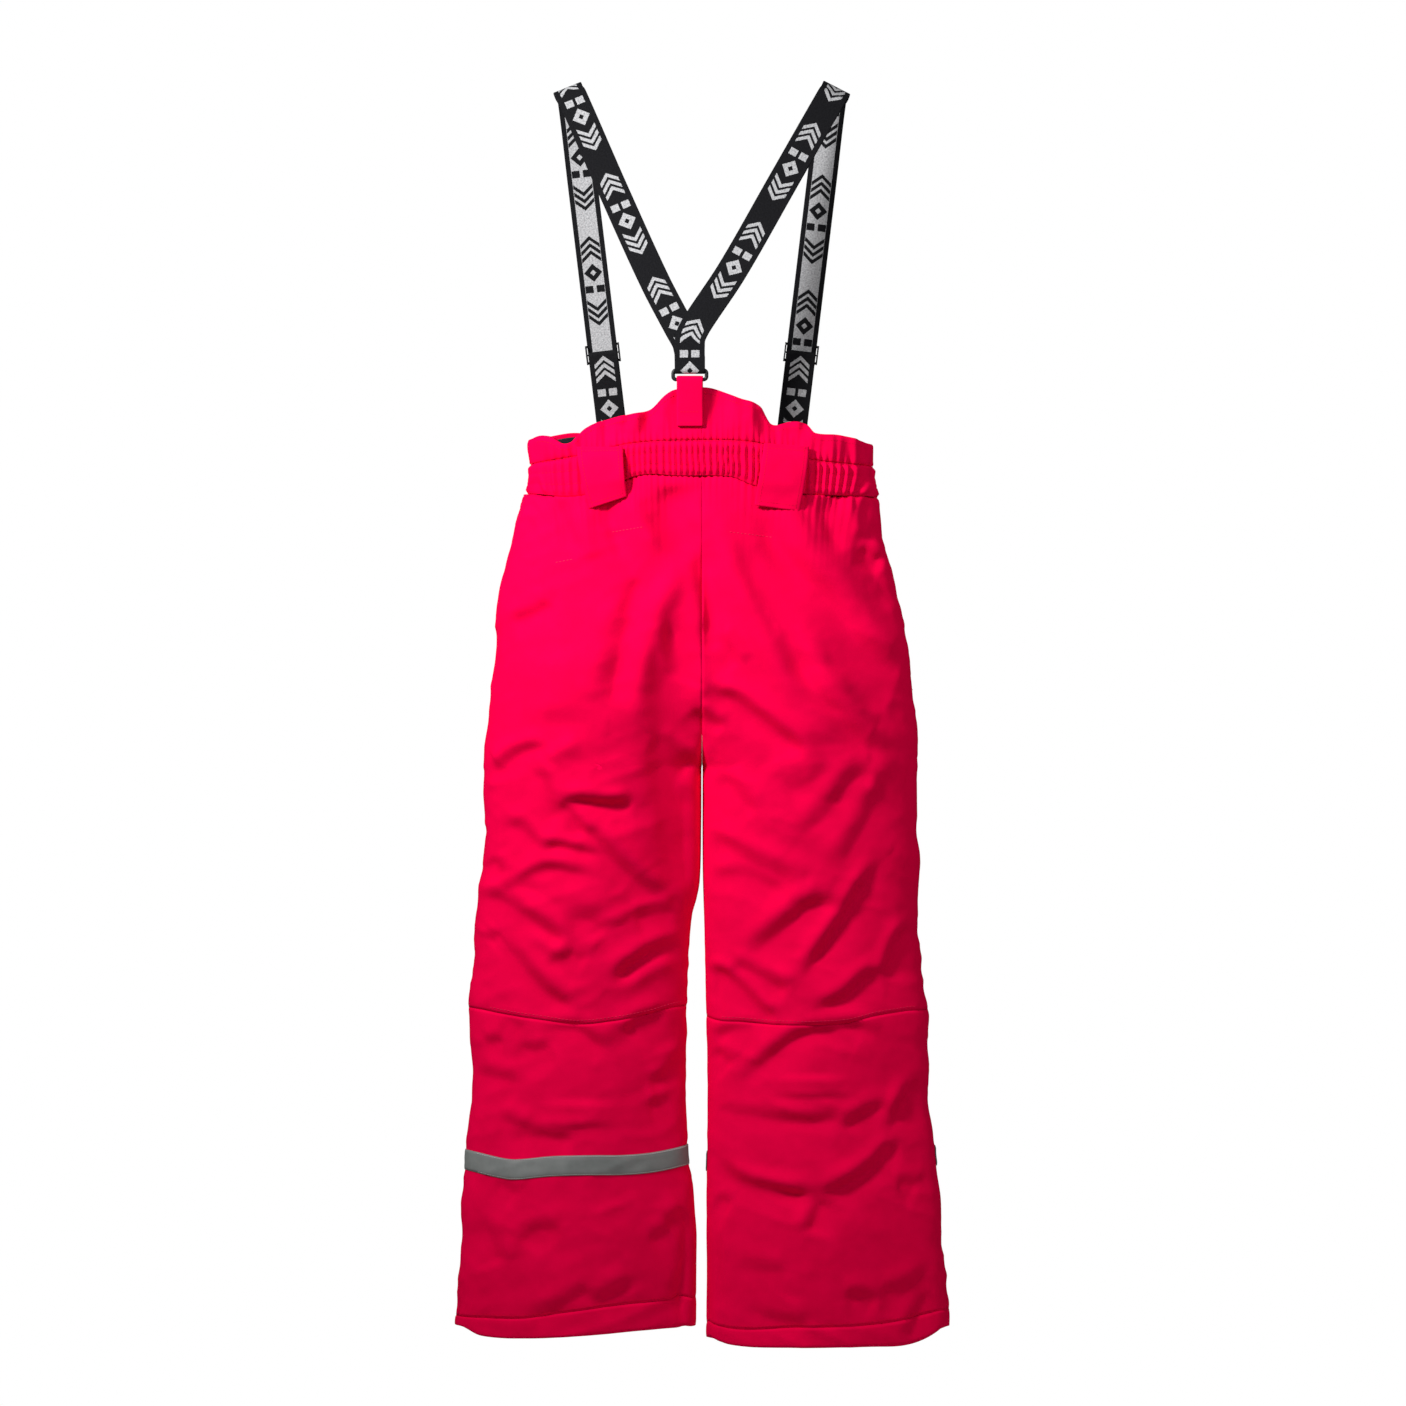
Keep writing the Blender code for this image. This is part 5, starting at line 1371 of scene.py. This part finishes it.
def strap_path(side):
    """The whole suspender, from the Y at the back over the hanger to the front ring."""
    origin, down = back_plane()
    out = down.cross(Vector((1, 0, 0))).normalized()
    if out.y > 0:
        out = -out
    low = {RIGHT: [(Y_JOINT_X, 0.252), (Y_JOINT_X + 0.002, 0.244), (Y_JOINT_X + 0.009, 0.231), (0.030, 0.180),
                   (0.080, 0.090)],
           LEFT: [(-0.0125, 0.262), (-0.0150, 0.252), (-0.0225, 0.238), (-0.047, 0.190),
                  (-0.087, 0.100)]}[side]
    layer = 0.0 if side == RIGHT else STRAP + CLEAR
    points = [Vector((x, 0, 0)) + origin + down * drop - out * layer for x, drop in low]
    points.append(Vector((side * STRAP_TOP_X, 0, 0)) + origin)
    across = []
    for index in range(len(points)):
        ahead = points[min(index + 1, len(points) - 1)] - points[max(index - 1, 0)]
        across.append(out.cross(ahead).normalized())
    if side == RIGHT:
        across[0] = Vector((1 if across[1].x > 0 else -1, 0, 0))
        bar = BACK_RING + Vector((0, 0, BACK_RING_HEIGHT / 2))
        outward, downward = Vector((0, -1, 0)), Vector((0, 0, -1))
        loop = arc(bar, outward, downward, WRAP, 0.0, pi, 10)
        loop.append(bar - outward * WRAP - downward * 0.014)
        loop.reverse()
        points = loop + points
        across = [across[0]] * len(loop) + across
    frame, length = front_frame(side)
    local = [Vector((0, length * n / 4, 0)) for n in range(5)]
    centre = Vector((0, length, WRAP))
    local += arc(centre, Vector((0, 0, -1)), Vector((0, 1, 0)), WRAP, pi / 8, pi, 8)
    local.append(Vector((0, length - 0.012, 2 * WRAP)))
    wide = frame.to_3x3() @ Vector((1, 0, 0))
    if wide.dot(across[-1]) < 0:
        wide = -wide
    over = [Vector((side * x, y, z)) for x, y, z in ((0.1325, -0.0085, -0.0085), (0.1342, -0.0045, -0.0045),
                                                      (0.1347, 0.0, -0.0030), (0.1342, 0.0045, -0.0045),
                                                      (0.1325, 0.0085, -0.0085))]
    turned = (0.0, 0.0, 0.06, 0.20, 0.40, 0.60)
    over_across = [across[-1].lerp(wide, part).normalized() for part in turned]
    run = [frame @ point for point in local]
    return points + over + run, across + over_across + [wide] * (len(run) - 1), frame, length


def make_suspenders(looks):
    straps = [looks["strap_face"], looks["strap_reverse"]]
    for side, phase in ((LEFT, 0.012), (RIGHT, 0.020)):
        name = SIDE_NAME[side]
        points, across, frame, length = strap_path(side)
        outward = (0, 1, 0) if side == RIGHT else (0, -1, 0)
        item = webbing(f"suspender_{name}_webbing", points, across, STRAP_WIDTH, STRAP, straps, outward, phase)
        attach(item, "root", "suspender_webbing", f"suspender_strap_{name}")
        make_return(side, frame, length, straps)


def make_return(side, frame, length, straps):
    """The strap's turned-back end, which runs from the ring up round the adjuster's middle bar."""
    name = SIDE_NAME[side]
    bar = Vector((0, ADJUSTER_DROP, ADJUSTER_BAR_OUT))
    local = [Vector((0, length - 0.012 - CLEAR, 2 * WRAP)), Vector((0, length - 0.030, 2 * WRAP)),
             Vector((0, ADJUSTER_DROP + 0.010, ADJUSTER_BAR_OUT + ADJUSTER_WRAP))]
    local += arc(bar, Vector((0, 0, 1)), Vector((0, -1, 0)), ADJUSTER_WRAP, 0.0, pi, 8)
    local.append(Vector((0, ADJUSTER_DROP + 0.008, ADJUSTER_BAR_OUT - ADJUSTER_WRAP)))
    points = [frame @ point for point in local]
    wide = frame.to_3x3() @ Vector((1, 0, 0))
    item = webbing(f"strap_return_{name}_webbing", points, [wide] * len(points), STRAP_WIDTH - 0.0006, STRAP,
                   straps, (0, -1, 0), 0.030, 0.0016)
    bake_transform(item)
    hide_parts(f"strap_return_{name}")


def tube_ring(name, width, height, corner, bar, frame, looks, sides=16):
    """A rounded rectangle of round bar, centred in a local frame's x and y."""
    path = []
    for quarter, (sx, sy) in enumerate(((1, 1), (-1, 1), (-1, -1), (1, -1))):
        for step in range(9):
            angle = (quarter + step / 8) * pi / 2
            path.append((Vector((sx * (width / 2 - corner) + corner * cos(angle),
                                 sy * (height / 2 - corner) + corner * sin(angle), 0.0)), angle))
    verts, faces = [], []
    for middle, angle in path:
        outward = Vector((cos(angle), sin(angle), 0.0))
        for n in range(sides):
            turn = 2 * pi * n / sides
            verts.append(frame @ (middle + outward * bar * cos(turn) + Vector((0, 0, bar * sin(turn)))))
    count = len(path)
    for i in range(count):
        for n in range(sides):
            a, b = i * sides + n, i * sides + (n + 1) % sides
            c, d = (i + 1) % count * sides + n, (i + 1) % count * sides + (n + 1) % sides
            faces.append((a, b, d, c))
    return solid(name, [tuple(v) for v in verts], faces, looks)


def cloth_strip(name, points, across, width, thickness, looks):
    """A folded strip of shell cloth with soft edges."""
    fine, wide, thick, _ = smooth_path(points, across, 0.0012)
    parts = np.linspace(-1, 1, 15)
    grids = []
    for out in (1, -1):
        rows = []
        for index in range(len(fine)):
            soft = np.minimum(1 - np.abs(parts), 0.2) / 0.2
            depth = out * thickness / 2 * (0.55 + 0.45 * np.sqrt(soft))
            rows.append(fine[index] + wide[index] * (parts * width / 2)[:, None] + thick[index] * depth[:, None])
        grids.append(np.array(rows))
    return closed_sheet(name, grids[0], grids[1], looks)


def surface_depth(x, z):
    """The depth of the plain outer surface at a distance from the centre and a height."""
    side = RIGHT
    middle, half, depth, _ = section(side, np.array([z]))
    part = min(1.0, abs((abs(x) - middle[0]) / half[0]))
    return float(depth[0] * (1 - part ** ROUNDNESS) ** (1 / ROUNDNESS))


def make_tab(name, node, ring_bar, face, end_z, meet_z, looks):
    """A doubled tab round a ring's lower bar, sewn to the garment's face below."""
    width, thick = 0.026, 0.0015
    bar = ring_bar.translation
    across, down, inward = (column.to_3d() for column in ring_bar.transposed()[:3])
    depth = max(surface_depth(abs(bar.x) + width * (n / 8 - 0.5), z)
                for n in range(9) for z in (end_z, (end_z + meet_z) / 2, meet_z))
    inner = depth + 0.0005 + thick / 2
    outer = inner + thick + CLEAR
    wrap = RING_BAR + CLEAR + thick / 2
    points = [Vector((bar.x, face * inner, end_z)), Vector((bar.x, face * inner, meet_z))]
    points += arc(bar, inward, -down, wrap, 0.0, pi, 10)
    points += [Vector((bar.x, face * outer, meet_z)), Vector((bar.x, face * outer, end_z))]
    item = cloth_strip(f"{name}_cloth", points, [across] * len(points), width, thick, [looks["shell"]])
    attach(item, "root", "shell_fabric", node)
    rows = []
    for z in (meet_z - 0.002, end_z + 0.003):
        x = np.linspace(bar.x - 0.010, bar.x + 0.010, 12)
        path = np.stack([x, np.full(12, face * (outer + thick / 2)), np.full(12, z)], 1)
        rows.append(stitches_on(path, path))
    made = capsules(f"{name}_stitches", *join_rows(rows), 0.0022, 0.0005, 0.0005, [looks["red_thread"]])
    attach(made, "root", "shell_fabric")


def make_rings(looks):
    plastic = [looks["plastic"]]
    for side in (LEFT, RIGHT):
        name = SIDE_NAME[side]
        frame, length = front_frame(side)
        middle = Vector((0, length + RING_HEIGHT / 2, WRAP))
        ring = frame.copy()
        ring.translation = frame @ middle
        item = tube_ring(f"front_ring_{name}_bar", RING_WIDTH, RING_HEIGHT, 0.004, RING_BAR, ring, plastic)
        attach(item, "root", "black_plastic", f"front_ring_{name}")
        ring.translation = frame @ (middle + Vector((0, RING_HEIGHT / 2, 0)))
        make_tab(f"front_tab_{name}", f"front_strap_tab_{name}", ring, FRONT, -0.404, -0.384, looks)
    upright = frame_at(BACK_RING, Vector((1, 0, 0)), Vector((0, 0, -1)))
    item = tube_ring("back_ring_bar", BACK_RING_WIDTH, BACK_RING_HEIGHT, 0.003, RING_BAR, upright, plastic)
    attach(item, "root", "black_plastic", "back_ring")
    upright.translation = BACK_RING - Vector((0, 0, BACK_RING_HEIGHT / 2))
    make_tab("back_tab", "back_strap_tab", upright, BACK, -0.344, -0.328, looks)


def slim_cheeks(side):
    """Narrows an adjuster's cheeks, which stand outside the strap, to half their width."""
    place, _ = front_frame(side)
    back = place.inverted()
    inner_edge = 0.0157

    def moved(point):
        local = back @ point
        beyond = abs(local.x) - inner_edge
        if beyond > -0.0002:
            local.x = (inner_edge + max(beyond, 0.0) * 0.5) * (1 if local.x > 0 else -1)
        return place @ local
    return moved


def from_node(name, frame, node, body, slot, look, bevel, moved=None):
    """A hard trim made from its CAD node: clean faces with fine rounded edges."""
    mesh = frame["nodes"][node].data.copy()
    mesh.materials.clear()
    if moved:
        for vertex in mesh.vertices:
            vertex.co = moved(vertex.co)
    made = bmesh.new()
    made.from_mesh(mesh)
    bmesh.ops.remove_doubles(made, verts=made.verts, dist=1e-6)
    bmesh.ops.dissolve_limit(made, angle_limit=radians(2), verts=made.verts, edges=made.edges)
    edges = [e for e in made.edges if len(e.link_faces) == 2 and e.calc_face_angle(0.0) > radians(30)]
    if bevel:
        bmesh.ops.bevel(made, geom=edges, offset=bevel, segments=3, profile=0.5, affect="EDGES",
                        clamp_overlap=True)
    bmesh.ops.recalc_face_normals(made, faces=made.faces)
    made.to_mesh(mesh)
    made.free()
    item = link(name, mesh, [look], sharp=35)
    return attach(item, body, slot, node)


def make_zip(name, node, frame, slider_body, pull_body, looks):
    """Tape and a row of coil teeth where the CAD tape lies, with its slider and pull."""
    low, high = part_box(f"{node}_tape")
    corners = np.array([v.co for v in frame["nodes"][f"{node}_tape"].data.vertices])
    middle = corners.mean(0)
    centred = corners - middle
    _, _, axes = np.linalg.svd(centred, full_matrices=False)
    down = axes[0] * (-1 if axes[0][2] > 0 else 1)
    across = axes[1]
    out = np.cross(across, down)
    if out[1] < 0:
        across, out = -across, -out
    half_length = float(np.abs(centred @ down).max())
    floor = float((centred @ out).min())
    frame_rows = np.linspace(-half_length, half_length, 60)
    parts = np.linspace(-1, 1, 15)
    grids = []
    for lift in (0.00065, 0.0):
        rows = []
        for run in frame_rows:
            rise = lift * (0.6 + 0.4 * np.minimum(1 - np.abs(parts), 0.15) / 0.15)
            rows.append(middle + down * run + across * (parts * ZIP_HALF_WIDTH)[:, None]
                        + out * (floor + rise)[:, None])
        grids.append(np.array(rows))
    uv = np.stack(np.meshgrid(parts * ZIP_HALF_WIDTH, frame_rows)[::-1], 2)
    item = closed_sheet(f"{name}_tape", grids[0], grids[1], [looks["zip_tape"]], uv_grid=uv)
    attach(item, "root", "zip_tape", f"{node}_tape")
    spots = np.arange(-half_length + 0.002, half_length - 0.001, 0.0011)
    middles = [middle + down * run + out * (floor + 0.00085) for run in spots]
    count = len(spots)
    teeth = capsules(f"{name}_teeth", middles, [across + down * 0.12 * (-1) ** n for n in range(count)],
                     [out] * count, 0.0040, 0.0010, 0.0008, [looks["plastic"]])
    attach(teeth, "root", "zip_tape")
    from_node(f"{name}_slider", frame, f"{node}_slider", slider_body, "zip_hardware", looks["zip_metal"], 0.00035)
    from_node(f"{name}_pull", frame, f"{node}_pull", pull_body, "zip_hardware", looks["zip_metal"], 0.0)
    return high, low


def make_front(frame, looks):
    make_zip("fly", "fly_zip", frame, "fly_slider", "fly_pull", looks)
    for side in (LEFT, RIGHT):
        name = SIDE_NAME[side]
        make_zip(f"pocket_{name}", f"pocket_zip_{name}", frame, f"pocket_slider_{name}", f"pocket_pull_{name}",
                 looks)
        item = cloth_panel(f"pocket_bag_{name}_cloth", side, (FRONT,), level(-0.478), level(-0.630), lining_ripple,
                           [looks["lining"]], 0.005, 0.0020, 0.0125, 0.0006, low=0.24, high=0.62)
        attach(item, "root", "lining_fabric", f"pocket_bag_{name}")
        from_node(f"adjuster_{name}_slide", frame, f"strap_adjuster_{name}", f"adjuster_{name}", "black_plastic",
                  looks["plastic"], 0.0006, slim_cheeks(side))
    make_flap(looks)
    from_node("snap_cap_disc", frame, "snap_cap", "closure_flap", "snap_metal", looks["metal"], 0.0003)
    from_node("snap_stud_disc", frame, "snap_stud", "root", "snap_metal", looks["metal"], 0.0002)


def make_flap(looks):
    """The snap tab across the centre front, as a soft doubled piece."""
    low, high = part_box("closure_tab")
    columns, rows = 41, 23
    grids = []
    for front in (True, False):
        grid = np.zeros((rows, columns, 3))
        for row, down in enumerate(np.linspace(0, 1, rows)):
            for column, part in enumerate(np.linspace(0, 1, columns)):
                x = low.x + (high.x - low.x) * part
                taper = 0.004 * smooth_step(0.82, 1.0, part)
                z = high.z - taper + (low.z - high.z + 2 * taper) * down
                edge = min(part, 1 - part, down * 0.6, (1 - down) * 0.6)
                soft = 0.35 + 0.65 * float(smooth_step(0.0, 0.07, edge))
                middle = (low.y + high.y) / 2
                y = middle + (0.0009 if front else -0.0009) * soft
                grid[row, column] = (x, y, z)
        grids.append(grid)
    item = closed_sheet("closure_flap_cloth", grids[0], grids[1], [looks["shell"]])
    attach(item, "closure_flap", "shell_fabric", "closure_tab")


# ---------------------------------------------------------------- stage

def make_stage():
    """A pale floor, a white surround, a near soft light high on the left and fills round it."""
    ring = [(1.8 * cos(2 * pi * n / 96), 1.8 * sin(2 * pi * n / 96), -1.62) for n in range(96)]
    floor = solid("floor", ring, [tuple(range(96))], [floor_look()], smooth=False)
    world = bpy.data.worlds.new("studio")
    bpy.context.scene.world = world
    world.use_nodes = True
    tree = world.node_tree
    tree.nodes.clear()
    seen, unseen = tree.nodes.new("ShaderNodeBackground"), tree.nodes.new("ShaderNodeBackground")
    seen.inputs["Color"].default_value = rgb(1.0, 1.0, 1.0)
    seen.inputs["Strength"].default_value = 1.0
    unseen.inputs["Color"].default_value = rgb(1.0, 1.0, 1.0)
    unseen.inputs["Strength"].default_value = 0.14
    path = tree.nodes.new("ShaderNodeLightPath")
    mix = tree.nodes.new("ShaderNodeMixShader")
    output = tree.nodes.new("ShaderNodeOutputWorld")
    tree.links.new(path.outputs["Is Camera Ray"], mix.inputs[0])
    tree.links.new(unseen.outputs[0], mix.inputs[1])
    tree.links.new(seen.outputs[0], mix.inputs[2])
    tree.links.new(mix.outputs[0], output.inputs["Surface"])
    add_light("key", (-0.78, -0.80, 0.16), (0.0, 0.0, -0.44), 0.26, 9.2, 115)
    add_light("right_fill", (0.85, -1.1, 0.35), (0.16, 0.0, -0.60), 0.6, 2.6, 110)
    add_light("fill", (0.9, -2.6, -0.5), (0.0, 0.0, -0.7), 1.2, 1.2, 180)
    add_light("front_fill", (-0.8, 2.8, 0.4), (0.0, 0.0, -0.6), 1.2, 18.0, 180)


def floor_look():
    made = Shader("floor_pale")
    place = made.coordinates("Object")
    colour = made.ramp(made.noise(place, 3.0), 0.3, 0.7, rgb(0.86, 0.86, 0.86), rgb(0.90, 0.90, 0.90))
    return made.finish(colour, 0.9, specular=0.05)


def add_light(name, place, target, size, power, spread):
    data = bpy.data.lights.new(name, "AREA")
    data.shape = "DISK"
    data.size = size
    data.energy = power
    data.spread = radians(spread)
    item = bpy.data.objects.new(name, data)
    item.location = place
    item.rotation_euler = (Vector(target) - Vector(place)).to_track_quat("-Z", "Y").to_euler()
    bpy.context.scene.collection.objects.link(item)


def make_camera():
    data = bpy.data.cameras.new("camera")
    data.sensor_width = 36
    distance, width = 4.6, 1.406
    data.lens = 36 * distance / width
    item = bpy.data.objects.new("camera", data)
    item.location = (0.001, -distance, -0.618)
    item.rotation_euler = (radians(90), 0, 0)
    bpy.context.scene.collection.objects.link(item)
    bpy.context.scene.camera = item


def make_looks():
    return {
        "shell": shell_look(),
        "lining": lining_look(),
        "fleece": fleece_look(),
        "elastic": plain_elastic_look(),
        "strap_face": strap_look("strap_face", False),
        "strap_reverse": strap_look("strap_reverse", True),
        "tape": tape_look(),
        "red_thread": thread_look("red_thread", rgb(0.70, 0.001, 0.045)),
        "soft_thread": thread_look("soft_thread", rgb(0.85, 0.030, 0.12)),
        "pale_thread": thread_look("pale_thread", rgb(0.62, 0.62, 0.62)),
        "plastic": plastic_look("trim_black", 0.38),
        "zip_metal": plastic_look("zip_black", 0.30),
        "metal": metal_look(),
        "zip_tape": zip_tape_look(),
    }


def main():
    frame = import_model()
    looks = make_looks()
    make_body(looks)
    make_waist(looks)
    make_linings(looks)
    make_tapes(looks)
    make_belt_loops(looks)
    make_stitching(looks)
    make_suspenders(looks)
    make_rings(looks)
    make_front(frame, looks)
    make_stage()
    make_camera()
    bpy.context.scene.view_settings.view_transform = "Standard"


main()
